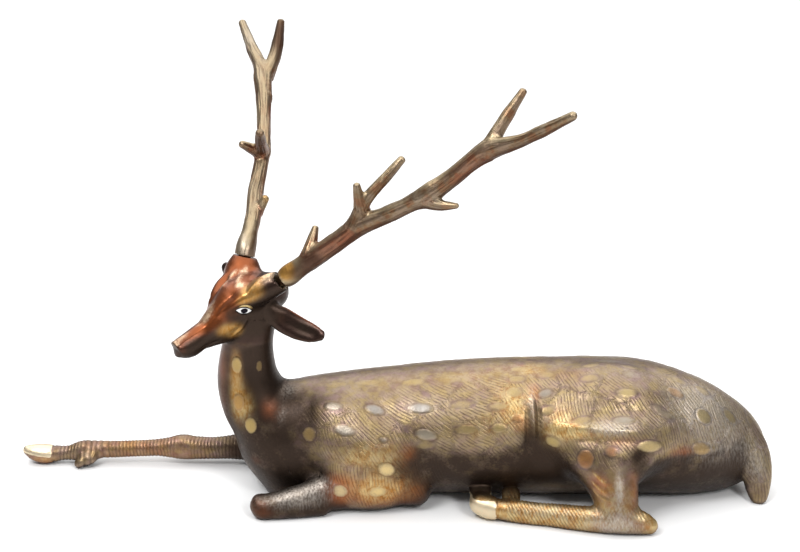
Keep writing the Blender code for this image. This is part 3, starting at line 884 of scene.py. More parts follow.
# Where the trunk's own form swells and sinks, in millimetres.
SWELLS = (
    Patch((106, -47, 62), (14, 16, 9), 1.2), Patch((140, -43, 77), (26, 16, 5), -2.0),
    Patch((175, -38, 74), (22, 16, 6), -1.0), Patch((150, -30, 86), (28, 14, 6)),
    Patch((-28, -42, 68), (30, 16, 7), -1.0), Patch((-60, -30, 60), (12, 18, 12), -2.0),
    Patch((-58, -44, 33), (14, 18, 14), -2.5), Patch((20, -40, 64), (40, 14, 9), 0.8),
    Patch((92, -46, 42), (10, 20, 18), -3.4), Patch((226, -24, 42), (8, 18, 12), -2.0),
    Patch((-4, -46, 46), (12, 16, 14)), Patch((24, -46, 28), (10, 18, 16), -1.6),
)

# The folds of the coat, with painted shade in their creases and in the hollow in front of the thigh.
FOLDS = (
    Line(((84.5, -36, 77), (85, -41, 68.5), (85, -45, 58), (84, -47, 46)), 1.7, -1.3, Mark.DARK),
    Line(((91, -33, 81), (92, -37, 75.5), (92.5, -43.5, 64), (94, -47, 52), (95, -48, 44)),
         2.0, -1.5, Mark.DARK),
    Line(((88.5, -30, 83), (88.5, -36, 76.5), (89, -43, 66), (89.5, -47, 54), (89, -48, 42)),
         1.9, 1.4),
    Line(((95, -48, 46), (101, -53, 38), (112, -60, 31), (123, -66, 26)), 3.0, -1.2, Mark.DARK),
    # the ridge along the thigh, and the step under it
    Line(((104, -46, 66), (118, -49, 68), (134, -52, 67), (150, -52, 66.5), (168, -49, 66)), 4.5, 1.7),
    Line(((108, -50, 58), (124, -53, 60), (140, -55, 60), (156, -55, 59)), 3.5, -0.9),
    # streaks down the front of the shank: low ridges with painted highlights along them
    Line(((126, -62, 43), (131, -66.5, 38.5), (136, -69.5, 35.5)), 1.3, 0.5, Mark.RUBBED_AND_LIT),
    Line(((125.5, -62.5, 36.5), (130.5, -67.5, 32), (136.5, -71, 29.5)), 1.2, 0.5, Mark.RUBBED_AND_LIT),
    Line(((126, -64, 30), (131, -69, 26.5), (137, -72.5, 25)), 1.2, 0.5, Mark.RUBBED_AND_LIT),
    # the edge under the rump
    Line(((172, -44, 47), (192, -42, 46), (212, -36, 46), (226, -26, 46)), 4.0, 1.0),
)

TINTS = (
    # dark patina and painted shade: the belly, chest and throat, and painted shadow in the hollows round
    # the thigh
    *tints(Mark.DARK, ((40, -40, 22), (90, 30, 22)), ((195, -30, 22), (50, 40, 20), 1.1),
        ((-78, -30, 40), (26, 30, 22), 1.1), ((-92, -8, 100), (12, 20, 40), 0.9),
        ((102, -48, 34), (14, 16, 20), 1.3), ((-66, -26, 68), (16, 16, 9), 0.8),
        ((230, -34, 36), (12, 20, 16), 0.9), ((140, -60, 52), (30, 14, 8), 0.5),
        ((20, -44, 46), (26, 12, 7), 0.5), ((-86, -18, 80), (14, 16, 26), 0.9),
        ((-92, 0, 70), (20, 26, 20), 0.7), ((6, -48, 34), (9, 14, 14), 0.8),
        ((74, -44, 15), (7, 6, 5)), ((-98, -10, 100), (10, 12, 30), 0.8),
        ((-90, 0, 108), (20, 28, 14), 0.6), ((94, -45, 52), (5, 12, 12), 0.9),
        ((86, -44, 60), (7, 10, 14), 0.9), ((158, -56, 44), (7, 12, 12), 0.8),
        ((-262, 27, 0), (10, 8, 3), 0.8)),
    # rubbed gold: the back, shoulder, elbow, thigh, neck and shanks
    *tints(Mark.RUBBED_AND_LIT, ((-10, -16, 86), (46, 16, 9), 0.28), ((62, -16, 90), (36, 18, 12), 0.4),
        ((88, -12, 96), (12, 9, 6), 0.6), ((76, -34, 76), (12, 12, 12), 0.9),
        ((-14, -46, 48), (20, 14, 9), 0.7), ((-14, -50, 22), (24, 14, 13)),
        ((106, -44, 66), (14, 16, 14), 0.8), ((122, -52, 64), (18, 12, 4.5), 0.9),
        ((56, -43, 64), (22, 12, 9), 0.6), ((-110.5, -18, 90), (4.5, 7, 22), 0.9),
        ((-106, -22, 70), (8, 12, 14), 0.8), ((100, -60, 9), (50, 20, 12), 1.5),
        ((142, -70, 28), (14, 14, 12), 0.7), ((166, -70, 10), (12, 14, 9), 0.9),
        ((-34, -44, 44), (14, 12, 8), 0.5), ((-190, 33, 10), (60, 14, 14), 0.45),
        ((-258, 26, 5), (10, 8, 4), 0.5)),
    # red lacquer: the elbow, knees, hock and neck, and under the spots of the flank
    *tints(Mark.RED, ((80, -41, 68), (7, 9, 7), 0.8), ((-38, -50, 24), (11, 12, 11)),
        ((-10, -50, 18), (28, 12, 13), 1.05), ((-120, -8, 86), (5, 12, 30), 0.6),
        ((-88, -23, 69), (8, 10, 10), 0.45), ((132, -66, 34), (10, 12, 10), 0.8),
        ((153, -68, 30), (6, 12, 14), 0.7), ((-94, -50, 8), (14, 12, 10), 0.45),
        ((148, -54, 60), (16, 10, 5), 0.5), ((89, -30, 84), (5, 10, 10), 0.7),
        ((208, -30, 64), (12, 12, 9), 0.35), ((-180, 33, 10), (60, 14, 14), 0.6),
        ((246, -26, 10), (8, 12, 10), 0.2), ((190, -44, 48), (18, 10, 5), 0.6),
        ((-98, -26, 32), (5, 10, 5), 0.3), ((4, -47, 47), (8, 10, 8), 0.6),
        ((72, -49, 9), (12, 14, 10), 0.4), ((110, -20, 93), (20, 14, 5), 0.4),
        ((-260, 27, 3), (10, 8, 6), 0.7)),
    # silver rubbing and painted highlights: the shoulder, forelegs, thigh, rump and tail, with the
    # highlights on the thigh's ridge, the flank's crease and down the hind shank
    *tints(Mark.SILVERED_AND_HIGHLIGHT, ((-75, -10, 77), (9, 10, 6), 0.35), ((-80, -25, 65), (4, 10, 8), 0.25),
        ((-58, -44, 24), (22, 8, 5), 0.6), ((138, -52, 68), (16, 10, 4), 0.9),
        ((20, -32, 74), (28, 12, 9), 0.3), ((164, -46, 70), (26, 12, 7), 0.15),
        ((200, -22, 76), (30, 22, 14), 0.6), ((143.5, -71, 32), (3.4, 10, 12), 0.9),
        ((216, -28, 60), (34, 26, 24), 0.75), ((-72, -50, 16), (26, 12, 7), 0.7),
        ((104, -60, 12), (44, 14, 6), 0.5), ((246, -26, 30), (10, 14, 20), 0.55),
        ((88, -32, 76), (3, 12, 14), 0.7), ((142, -74, 10), (18, 12, 9), 0.7),
        ((150, -14, 92), (26, 16, 6), 0.3)),
)

HEAD_TINTS = (
    # red-brown lacquer: the muzzle's ridge, the forehead and the right pedicle
    *tints(Mark.RED, ((28, 0, 3), (24, 6, 6)), ((4, -3, 10), (16, 9, 8), 1.4),
        ((-10, -4, 12), (14, 12, 8), 1.3), ((-24, -18, 8), (13, 14, 12), 1.4, False),
        ((2, -10, 6), (14, 7, 8), 1.2), ((20, 6, 0), (16, 5, 4), 0.7), ((45, 5, -5), (4, 5, 6), 0.3),
        ((-20, 20, -16), (5, 7, 7), 0.35)),
    # dark patina and painted shade: the sides, the nose and the ears' hollows
    *tints(Mark.DARK, ((-12, 17, -8), (14, 9, 12), 1.1), ((5, 14, 2), (7, 5, 5.5), 1.3),
        ((-22, 26, 2), (12, 8, 9), 1.4, False), ((28, 8, -8), (18, 5, 6), 0.9),
        ((-27, 33, -28), (7, 14, 7), 0.9), ((-8, 12, -18), (16, 9, 8)),
        ((-12, 17, 3), (6, 4, 5), 0.9), ((-2, 16.5, -4), (6, 4, 3), 0.7), ((38, 7, -5), (7, 4, 6), 0.8),
        ((47.5, 0, -1.6), (2.6, 4.6, 4.4), 1.3), ((30, -7, 0), (16, 3, 4), 0.7, False),
        ((-20, 30, -12), (10, 12, 6), 0.6)),
    # gold: the cheek, the brow and the left pedicle's front
    *tints(Mark.RUBBED_AND_LIT, ((15, 11, -6), (6, 6, 5), 0.9), ((9, 13, -10), (5.5, 6, 5), 0.9),
        ((-3, 17, 8), (4.5, 4, 3), 0.9), ((-9, 13, 11), (4, 4, 6), 0.35, False),
        ((-17, 13, 14), (7, 4.5, 5), 0.8, False), ((-25, 19, 15), (6, 4, 4), 0.8, False),
        ((-9.5, 18.5, 10), (5, 5, 5), 1.3, False), ((-15.5, 21, 9.5), (5, 5, 4.5), 0.9, False),
        ((10, 11, -13.5), (5, 5, 4), 0.8)),
    # painted highlights, where the lacquer shines
    *tints(Mark.SILVERED_AND_HIGHLIGHT, ((45.5, 3, 1.8), (2, 4, 1.4), 0.5), ((12, -1, 8), (5, 3, 3), 0.6, False),
        ((-26, 20, 14.5), (6, 6, 4), 0.9, False), ((-20, -5.6, 12), (3.2, 3.2, 3), 1.4, False),
        ((-9.6, 7.7, 13.2), (3, 3, 3), 1.3, False), ((18, 1.5, 4.6), (8, 3, 3), 1.2, False),
        ((40, 0, 2.6), (6, 3, 2), 0.7, False)),
)

HEAD_LINES = (
    # the ridge of the muzzle, the mouth, and a painted highlight along the bridge
    Line(((3, 10.5, 8), (13.6, 8.8, 4.6), (26.5, 5.6, 1.8), (44, 4.2, 1.2)), 1.4, 0.9),
    Line(((47, 4, -6.6), (38, 5.8, -9), (27, 6, -11.8), (15, 8, -13)), 0.8, -0.7, Mark.DARK),
    Line(((30, 0.5, 2.6), (18, 1.1, 4.5), (11, -0.5, 8), (6, -1.6, 10.4)), 1.8, 0.3, Mark.SILVERED_AND_HIGHLIGHT),
    # the rim round the nose
    Line(((45.8, 4.8, -3), (46, 4.2, 0.2), (46.2, 2.4, 1.8), (46.4, 0, 2.2), (46.4, -3, 1.4)), 0.9, 0.4),
    Line(((46.4, 4.6, -3), (46.4, 3.4, -6.4), (46.4, 0, -7.8)), 0.9, 0.3),
    # the right brow, which shows past the forehead
    Line(((6, -11.5, 5), (-1, -15.5, 6.5), (-9, -17.5, 7)), 3.2, 1.5, both=False),
    # the fold over the eye
    Line(((-6, 19.4, 9.4), (-4, 19, 9.6), (-1, 17.4, 9.4), (4, 15, 8.6)), 0.5, -0.3, Mark.DARK),
    # the cheek's edge
    Line(((-2, 16, -5), (-0.6, 15.4, -7), (4.3, 12.7, -11.8), (13, 9.4, -15)), 1.3, 0.5),
    # ridges over the forehead with painted highlights along them, and the dip inside the left pedicle
    Line(((0, -3.5, 12), (-4, -5.2, 13), (-12.2, -10.1, 12), (-20, -11, 13)), 1.8, 1.0,
         Mark.SILVERED_AND_HIGHLIGHT, both=False),
    Line(((-27, -9, 13), (-20.7, -6.5, 11.4), (-14, 0, 12.5), (-7, 7.5, 13.6)), 2.3, 1.1,
         Mark.SILVERED_AND_HIGHLIGHT, both=False),
    Line(((-32, -4, 5), (-26, 2, 8.5), (-19.5, 7.8, 11), (-9, 14, 12.5)), 2.4, -1.2, both=False),
    Line(((-31, 23, 15), (-21.5, 19.4, 14.9), (-13, 18, 12.8), (-6, 17.5, 8.5)), 1.9, 0.9,
         Mark.RUBBED_AND_LIT, both=False),
    # the rims of the ear, and its hollow
    Line(((-24, 18, -12), (-27.6, 20.4, -15.7), (-31, 29, -22.6), (-34.2, 38, -28.4), (-35.5, 45, -32)),
         1.2, 0.6, Mark.RED),
    Line(((-14, 17, -20), (-15.4, 20.8, -24), (-19.2, 29.2, -31), (-24.8, 38.2, -35.2),
          (-30.5, 45, -35.6)), 1.2, 0.6, Mark.RED),
    Line(((-18, 17, -16), (-21.6, 23, -21.4), (-25, 30.5, -27.2), (-29.4, 39, -32), (-32, 43, -33.4)),
         3.4, -1.7, Mark.DARK),
)


@dataclass
class Casting:
    """A piece of the deer cast on its own, which stands for one node of the CAD model."""

    name: str
    node: str
    slot: str

    def dress(self, piece: bpy.types.Object, material: bpy.types.Material) -> None:
        """Give the piece its finish, and let it stand for its node.

        Args:
            piece: The piece, once it is built.
            material: The finish.
        """
        piece.data.materials.clear()
        piece.data.materials.append(material)
        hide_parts(self.node)
        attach(piece, "root")
        LOG.info("%s: %d faces, stands for %s", piece.name, len(piece.data.polygons), self.node)


@dataclass
class DeerBody(Casting):
    """The lying deer without its antlers."""

    name: str = "deer_casting"
    node: str = "deer_body"
    slot: str = "patinated_brass"
    swells: tuple[Patch, ...] = SWELLS
    folds: tuple[Line, ...] = FOLDS
    head_lines: tuple[Line, ...] = HEAD_LINES
    spots: tuple[Spot, ...] = SPOTS
    combs: tuple[Triple, ...] = COMBS
    hair: tuple[Patch, ...] = HAIR
    patina_shade_line: tuple[Pair, ...] = PATINA_SHADE_LINE
    tints: tuple[Tint, ...] = TINTS
    head_tints: tuple[Tint, ...] = HEAD_TINTS
    grid: float = 1.08  # between the skin's points before they are halved
    triangles: int = 192_000
    seed: int = 11  # of the tufts' places
    # the head
    head_low: Triple = (-160, -80, 100)
    head_high: Triple = (-60, 80, 175)
    head_start: Pair = (108, 116)  # the heights between which the neck turns into the head
    nose_plane: Triple = (0.997, 0.0, -0.08)  # square to the end of the muzzle
    nose_reach: float = 46.8
    nose_press: float = 0.85  # the share of what lies past the plane that goes
    nose_dip: Patch = Patch((47, 0, -1.6), (4, 3.6, 3.4), 0.8)
    eye_middle: Triple = (-1.3, 15.8, 0.4)
    eye_along: Triple = (0.84, -0.14, 0.53)
    eye_up: Triple = (-0.5, 0.215, 0.842)
    eye_reach: float = 8.0
    eye_dome: float = 0.9  # how far the ball stands out
    lid_height: float = 0.5
    lid_width: float = 0.45
    lid_end: float = 6.5
    eye_hollow: float = 0.8
    hollow_radii: Pair = (9, 6)
    # the neck and the underside
    neck_rise: Pair = (58, 96)  # the heights between which the lacquer of the neck starts
    neck_front: Pair = (74, 92)  # and how far ahead
    coat_front: Pair = (-150, -108)  # where the dark edge of the coat, with its patina and painted shade, begins
    leg_top: Pair = (26, 16)  # the heights between which the trunk turns into the folded legs
    open_belly: Pair = (40, 28)  # the middle and half the length of the belly between legs
    shank_edge: tuple[Pair, ...] = ((52, 38), (100, 49), (156, 59))  # places along and outwards
    # the hair and the spots
    comb_softness: float = 60.0  # the more, the more evenly the hair turns from comb to comb
    trunk_height: float = 46.0  # of the trunk's middle
    tail_start: Pair = (232, 240)
    tail_top: Pair = (62, 52)  # its hair starts to turn down, and hangs
    tail_way: Triple = (0.1, -0.1, -1.0)
    tuft_gap: float = 23.0
    tuft_tries: int = 8000
    tuft_bend: float = 0.007  # how far the strokes of a tuft curve
    tuft_stray: float = 2.5  # how far the borders of tufts wander
    hair_pitch: float = HAIR_PITCH
    hair_depth: float = 0.11
    hair_gap: Pair = (0.5, 1.6)  # how far outside a spot's edge hair starts
    outline_place: float = 0.3  # how far outside a spot's edge its cut outline is
    outline_width: float = 0.5
    outline_depth: float = 0.14
    spot_height: float = 0.22
    spot_bevel: Pair = (-1.4, 0.2)  # from inside a spot's edge to outside it
    # the legs
    foreleg: Span = Span((-250, -244), (-112, -100))
    foreleg_inside: Pair = (12, 20)
    foreleg_top: Pair = (26, 34)
    fetlock: Span = Span((-238, -222), (-222, -200))
    knee: float = -157.0
    knee_length: float = 9.0
    ring_pitch: float = 2.5  # of the stretched foreleg
    fetlock_pitch: float = 4.2
    ring_depth: float = 0.4
    ring_stray: float = 0.35  # as a share of the pitch
    shank: Span = Span((68, 74), (160, 170))
    shank_inside: Pair = (40, 48)
    shank_top: Pair = (17, 24)
    band_pitch: float = 2.1  # of the hind shanks
    band_slant: Pair = (0.87, 0.5)
    faint_bands: Pair = (116, 126)  # where the bands become half as deep
    hoof_end: Pair = (-252.5, -250.5)  # where the stretched foreleg's hoof ends
    hoof_middle: float = -260.0
    hoof_seam: Pair = (7.2, 8.8)  # how high the cream starts there
    seam_slope: float = 0.12  # how much lower it starts for each millimetre back
    hind_hoof: Span = Span((40, 44), (60.5, 68))
    hind_hoof_inside: Pair = (38, 40)
    hind_hoof_top: Pair = (14.5, 16)
    front_collar: float = -250.5
    hind_collar: float = 65.6
    collar_inside: Pair = (38, 42)
    collar_top: Pair = (17, 20)
    collar_width: float = 0.9
    collar_depth: float = 0.5
    # the cast skin: heights, cells and seeds of its unevenness
    uneven: tuple[tuple[float, float, int], ...] = ((0.10, 7.0, 5), (0.05, 2.6, 6))
    hock: Patch = Patch((132, -66, 8), (14, 16, 12), 0.35)
    skin: Skin = field(init=False, repr=False)

    def limbs(self) -> list[Limb]:
        """Return every limb of the body."""
        return [TRUNK, TAIL, NECK, *head_limbs(), *fore_limbs(), *hind_limbs()]

    def build(self) -> bpy.types.Object:
        """Make the body with its relief, marks and sockets.

        Returns:
            The body, not dressed yet.
        """
        self.skin = raise_skin(self.name, self.limbs(), self.grid)
        self.refine_head()
        self.swell()
        self.cut_nose()
        self.lay_flat()
        self.paint_underside_shade()
        self.draw_lines()
        self.set_spots()
        self.cut_hair()
        self.cut_rings()
        self.model_eyes()
        self.roughen()
        self.tint()
        self.skin.write_marks()
        obj = self.skin.obj
        thin_out(obj, self.triangles)
        flatten_underside(obj)
        for side in Side:
            socket = SOCKETS[side]
            bore = socket.cylinder("bore", socket.bore_radius, -socket.bore_depth, socket.clearance)
            combine(obj, bore, "DIFFERENCE")
        obj.data.shade_smooth()
        return obj

    def refine_head(self) -> None:
        """Halve the faces of the head, where the detail is finest."""
        mesh = bmesh.new()
        mesh.from_mesh(self.skin.obj.data)
        low, high = np.array(self.head_low) * MM, np.array(self.head_high) * MM
        inside = {vert.index for vert in mesh.verts
                  if all(start < value < end for start, value, end in zip(low, vert.co, high))}
        edges = [edge for edge in mesh.edges
                 if edge.verts[0].index in inside and edge.verts[1].index in inside]
        bmesh.ops.subdivide_edges(mesh, edges=edges, cuts=1, use_grid_fill=True)
        mesh.to_mesh(self.skin.obj.data)
        mesh.free()
        self.skin.read()

    def coat_points(self) -> np.ndarray:
        """Return the points folded over onto the left side, whose second numbers are below zero."""
        return fold(self.skin.points, -1)

    def head_points(self) -> np.ndarray:
        """Return the points as (forward, left, up) places folded over onto the head's left side."""
        return fold(HEAD.local(self.skin.points), 1)

    def on_head(self) -> np.ndarray:
        """Return 1 on the head and 0 off it."""
        return smooth_step(self.skin.points[:, 2], *self.head_start)

    def swell(self) -> None:
        """Raise and sink the broad forms of the muscles."""
        points = self.coat_points()
        height = sum(patch.amount(points) for patch in self.swells)
        self.skin.lift(height * (1 - self.on_head()))

    def cut_nose(self) -> None:
        """Cut the end of the muzzle off nearly square, with a shallow dip in it."""
        points = HEAD.local(self.skin.points)
        beyond = np.maximum(points @ np.array(self.nose_plane) - self.nose_reach, 0) * self.on_head()
        self.skin.points -= (self.nose_press * beyond)[:, None] * HEAD.direction(self.nose_plane)
        self.skin.lift(-self.nose_dip.amount(points) * self.on_head())

    def lay_flat(self) -> None:
        """Press the skin flat at the ground and square at the sockets."""
        points = self.skin.points
        points[:, 2] = np.maximum(points[:, 2], 0)
        for side in Side:
            points = SOCKETS[side].square_off(points, 0, outwards=True)
        self.skin.points = points
        self.skin.write()

    def paint_underside_shade(self) -> None:
        """Paint shade on what faces the ground, and dark patina with painted shade on what lies below the
        edge of the coat.
        """
        points, facing = self.coat_points(), self.skin.normals()[:, 2]
        middle, half = self.open_belly
        leg = smooth_step(points[:, 2], *self.leg_top) * (np.abs(points[:, 0] - middle) > half)
        # painted shade on what faces the ground; on the folded legs only on what faces it steeply
        self.skin.mark(Mark.DARK, smooth_step(-facing, -0.2, 0.35) * (1 - leg))
        self.skin.mark(Mark.DARK, smooth_step(-facing, 0.25, 0.95) * leg)
        # dark patina and painted shade below the edge of the coat, but not on the head or the hind shanks
        below = np.interp(points[:, 0], *np.array(self.patina_shade_line).T) - points[:, 2]
        beside = -points[:, 1] - np.interp(points[:, 0], *np.array(self.shank_edge).T)
        shank = smooth_step(beside, 0, 3) * smooth_step(points[:, 2], 24, 18) * (points[:, 0] > 48)
        coat = (1 - self.on_head()) * (1 - shank) * smooth_step(points[:, 0], *self.coat_front)
        self.skin.mark(Mark.DARK, smooth_step(below, -8, 8) * coat)

    def draw_lines(self) -> None:
        """Work in the folds of the coat and the lines of the head."""
        for points, lines, held in ((self.skin.points, self.folds, 1 - self.on_head()),
                                    (HEAD.local(self.skin.points), self.head_lines, self.on_head())):
            height = np.zeros(len(points))
            for line in lines:
                share = line.share(points) * held
                height += line.height * share
                if line.kind:
                    self.skin.mark(line.kind, share * 0.8)
            self.skin.lift(height)

    def set_spots(self) -> None:
        """Raise each spot a little inside a cut outline."""
        points, normals = self.coat_points(), self.skin.normals()
        normals[:, 1] *= np.where(self.skin.points[:, 1] > 0, -1, 1)
        edge = np.full(len(points), 9.0)
        tone, shown = np.zeros(len(points)), np.ones(len(points))
        tree = nearest_tree(points)
        for spot in self.spots:
            index = tree.find(Vector(spot.place))[1]
            middle, out = points[index], normals[index]
            turn = math.radians(spot.turn)
            length = np.array((math.cos(turn), 0.0, 0.0))
            length += math.sin(turn) * np.cross(np.array((1.0, 0.0, 0.0)), out)
            length -= out * (length @ out)
            length /= np.linalg.norm(length)
            width = np.cross(out, length)
            near = [found for _, found, _ in tree.find_range(Vector(middle), spot.length)]
            offset = points[near] - middle
            reach = np.hypot(offset @ length / (spot.length / 2), offset @ width / (spot.width / 2))
            distance = (reach - 1) * spot.width / 2
            closer = distance < edge[near]
            chosen = np.array(near)[closer]
            edge[chosen] = distance[closer]
            tone[chosen] = spot.tone
            shown[chosen] = spot.shown
        self.skin.marks.update({Mark.SPOT: edge, Mark.TONE: tone, Mark.SHOWN: shown})
        outline = np.exp(-((edge - self.outline_place) / self.outline_width) ** 2) * shown
        inside = (1 - smooth_step(edge, *self.spot_bevel)) * shown
        self.skin.lift(self.spot_height * inside - self.outline_depth * outline)

    def hair_direction(self, points: np.ndarray, normals: np.ndarray) -> np.ndarray:
        """Return the way the hair lies at points, along the skin.

        Args:
            points: Places on the coat, folded onto the left side.
            normals: The outward directions there, folded too.

        Returns:
            One unit direction a point.
        """
        combs = np.array(self.combs, dtype=float)
        gap = points[:, None, (0, 2)] - combs[None, :, :2]
        weight = 1 / ((gap ** 2).sum(axis=2) + self.comb_softness) ** 2
        slope = (weight @ np.radians(combs[:, 2])) / weight.sum(axis=1)
        down = np.column_stack((np.zeros(len(points)), self.trunk_height - points[:, 2], points[:, 1]))
        down /= np.maximum(np.linalg.norm(down, axis=1, keepdims=True), 1e-6)
        ahead = np.array((1.0, 0.0, 0.0))
        way = np.cos(slope)[:, None] * ahead + np.sin(slope)[:, None] * down
        tail = smooth_step(points[:, 0], *self.tail_start) * smooth_step(points[:, 2], *self.tail_top)
        way = way * (1 - tail[:, None]) + tail[:, None] * np.array(self.tail_way)
        way -= normals * (way * normals).sum(axis=1, keepdims=True)
        return way / np.maximum(np.linalg.norm(way, axis=1, keepdims=True), 1e-6)

    def cut_hair(self) -> None:
        """Comb the coat into tufts, and engrave each with strokes that lie side by side."""
        points, normals = self.skin.points, self.skin.normals()
        folded, folded_normals = self.coat_points(), normals.copy()
        right = points[:, 1] > 0
        folded_normals[right, 1] *= -1
        strength = np.clip(sum(patch.amount(folded) for patch in self.hair), 0, 1)
        strength *= smooth_step(points[:, 2], 1, 4)
        middles = self.choose_tufts(points, strength)
        ways = self.hair_direction(folded[middles], folded_normals[middles])
        ways[right[middles], 1] *= -1
        across = np.cross(ways, normals[middles])
        comb = np.zeros((len(points), 3))
        tufts = nearest_tree(points[middles])
        shift = np.column_stack([lattice_noise(points / 7, seed) for seed in (31, 32, 33)])
        shift *= self.tuft_stray
        for index in np.flatnonzero(strength > 0.05).tolist():
            (_, tuft, first), (_, _, second) = tufts.find_n(Vector(points[index] + shift[index]), 2)
            offset = points[index] - points[middles[tuft]]
            run = offset @ ways[tuft]
            comb[index] = (offset @ across[tuft] + self.tuft_bend * run ** 2, run + 37 * tuft, 0)
            strength[index] *= min(max(second - first - 0.5, 0) / 2, 1)
        self.skin.marks[Mark.COMB] = comb
        strength *= smooth_step(self.skin.marks[Mark.SPOT], *self.hair_gap)
        self.skin.mark(Mark.HAIR, strength)
        cut = wave(comb[:, 0] / (2 * self.hair_pitch)) ** 2
        self.skin.lift(-self.hair_depth * cut * strength)
        LOG.info("%s: %d tufts of hair", self.name, len(middles))

    def choose_tufts(self, points: np.ndarray, strength: np.ndarray) -> np.ndarray:
        """Pick the middles of tufts, a gap apart, where there is hair.

        Args:
            points: One point a row.
            strength: How strongly hair is cut at each point.

        Returns:
            The numbers of the points that are middles.
        """
        rng = np.random.default_rng(self.seed)
        chosen: list[int] = []
        for index in rng.permutation(np.flatnonzero(strength > 0.1))[:self.tuft_tries].tolist():
            gaps = np.linalg.norm(points[chosen] - points[index], axis=1)
            if not chosen or gaps.min() > self.tuft_gap:
                chosen.append(index)
        return np.array(chosen)

    def cut_rings(self) -> None:
        """Engrave the stretched foreleg and the hind shanks, and set off the hooves."""
        wobble = self.ring_stray * lattice_noise(self.skin.points / 9, 3)
        rings, bands = self.foreleg_rings(wobble), self.shank_bands(wobble)
        self.skin.mark(Mark.GROOVE, np.maximum(rings, bands))
        self.skin.mark(Mark.HOOF, self.hooves())
        self.skin.lift(-self.ring_depth * (rings + bands) - self.collar_depth * self.collars())

    def foreleg_rings(self, wobble: np.ndarray) -> np.ndarray:
        """Return how deep in a ring of the stretched foreleg each point is.

        Args:
            wobble: How far the rings stray, as a share of their spacing.

        Returns:
            0 to 1 for each point.
        """
        x, y, z = self.skin.points.T
        by_fetlock = self.fetlock.amount(x)
        fine, coarse = wave(x / self.ring_pitch + wobble), wave(x / self.fetlock_pitch + wobble)
        leg = self.foreleg.amount(x)
        leg *= smooth_step(y, *self.foreleg_inside) * (1 - smooth_step(z, *self.foreleg_top))
        knee = 1 - 0.6 * np.exp(-((x - self.knee) / self.knee_length) ** 2)
        return (fine * (1 - by_fetlock) + coarse * by_fetlock) ** 2 * leg * knee

    def shank_bands(self, wobble: np.ndarray) -> np.ndarray:
        """Return how deep in a slanted band of the hind shanks each point is.

        Args:
            wobble: How far the rings of the foreleg stray; the bands stray less.

        Returns:
            0 to 1 for each point.
        """
        x, y, z = self.coat_points().T
        run = x * self.band_slant[0] + z * self.band_slant[1]
        bands = wave(run / self.band_pitch + wobble * 0.7) ** 2
        bands *= self.shank.amount(x)
        bands *= smooth_step(-y, *self.shank_inside) * (1 - smooth_step(z, *self.shank_top))
        return bands * (1 - 0.5 * smooth_step(x, *self.faint_bands))

    def hooves(self) -> np.ndarray:
        """Return where the cream of the hooves is.

        Returns:
            0 to 1 for each point.
        """
        x, _, z = self.skin.points.T
        upper = smooth_step(z + self.seam_slope * (x - self.hoof_middle), *self.hoof_seam)
        front = (1 - smooth_step(x, *self.hoof_end)) * upper
        outwards = np.abs(self.skin.points[:, 1])
        hind = smooth_step(outwards, *self.hind_hoof_inside) * (1 - smooth_step(z, *self.hind_hoof_top))
        return front + self.hind_hoof.amount(x) * hind

    def collars(self) -> np.ndarray:
        """Return where the grooves round the tops of the hooves are.

        Returns:
            0 to 1 for each point.
        """
        x, y, z = self.coat_points().T
        front = np.exp(-((x - self.front_collar) / self.collar_width) ** 2)
        beside = smooth_step(-y, *self.collar_inside) * (1 - smooth_step(z, *self.collar_top))
        return front + np.exp(-((x - self.hind_collar) / self.collar_width) ** 2) * beside

    def model_eyes(self) -> None:
        """Set an almond eye under its lid and brow on each side."""
        points = self.head_points()
        along, up = np.array(self.eye_along), np.array(self.eye_up)
        offset = points - np.array(self.eye_middle)
        x, y = offset @ along, offset @ up
        out = offset @ np.cross(up, along)
        self.skin.marks[Mark.EYE] = np.column_stack((x, y, out))
        held = self.on_head() * (np.abs(out) < self.eye_reach)
        lid = LID_ARCH * (1 - (x / EYE_HALF_LENGTH) ** 2)
        inside = np.minimum(lid - y, lid * LOWER_LID + y)
        ball = smooth_step(inside, -0.1, 0.5) * held
        edge = np.exp(-((inside + self.lid_width) / self.lid_width) ** 2)
        rim = edge * held * (np.abs(x) < self.lid_end)
        hollow = np.exp(-(x / self.hollow_radii[0]) ** 2 - (y / self.hollow_radii[1]) ** 2) * held
        dome = self.eye_dome * ball * (1 - (x / self.eye_reach) ** 2).clip(0)
        self.skin.lift(dome + self.lid_height * rim - self.eye_hollow * hollow)

    def roughen(self) -> None:
        """Give the cast skin its slight unevenness."""
        points = self.skin.points
        uneven = sum(height * lattice_noise(points / cell, seed) for height, cell, seed in self.uneven)
        uneven += self.hock.amount(self.coat_points()) * lattice_noise(points / 2.2, 7)
        still = smooth_step(points[:, 2], 0.2, 2) * (1 - 0.7 * self.on_head())
        self.skin.lift(uneven * still)

    def tint(self) -> None:
        """Mark the soft patches of colour, painted shade and painted highlights."""
        x, z = self.skin.points[:, 0], self.skin.points[:, 2]
        neck = smooth_step(z, *self.neck_rise) * smooth_step(-x, *self.neck_front)
        self.skin.mark(Mark.HEAD, np.maximum(self.on_head(), 0.85 * neck))
        for points, tints, held in ((self.skin.points, self.tints, 1 - self.on_head()),
                                    (HEAD.local(self.skin.points), self.head_tints, self.on_head())):
            totals: dict[Mark, np.ndarray] = {}
            for tint in tints:
                totals[tint.kind] = totals.get(tint.kind, 0) + tint.amount(points) * held
            for kind, values in totals.items():
                self.skin.mark(kind, values)


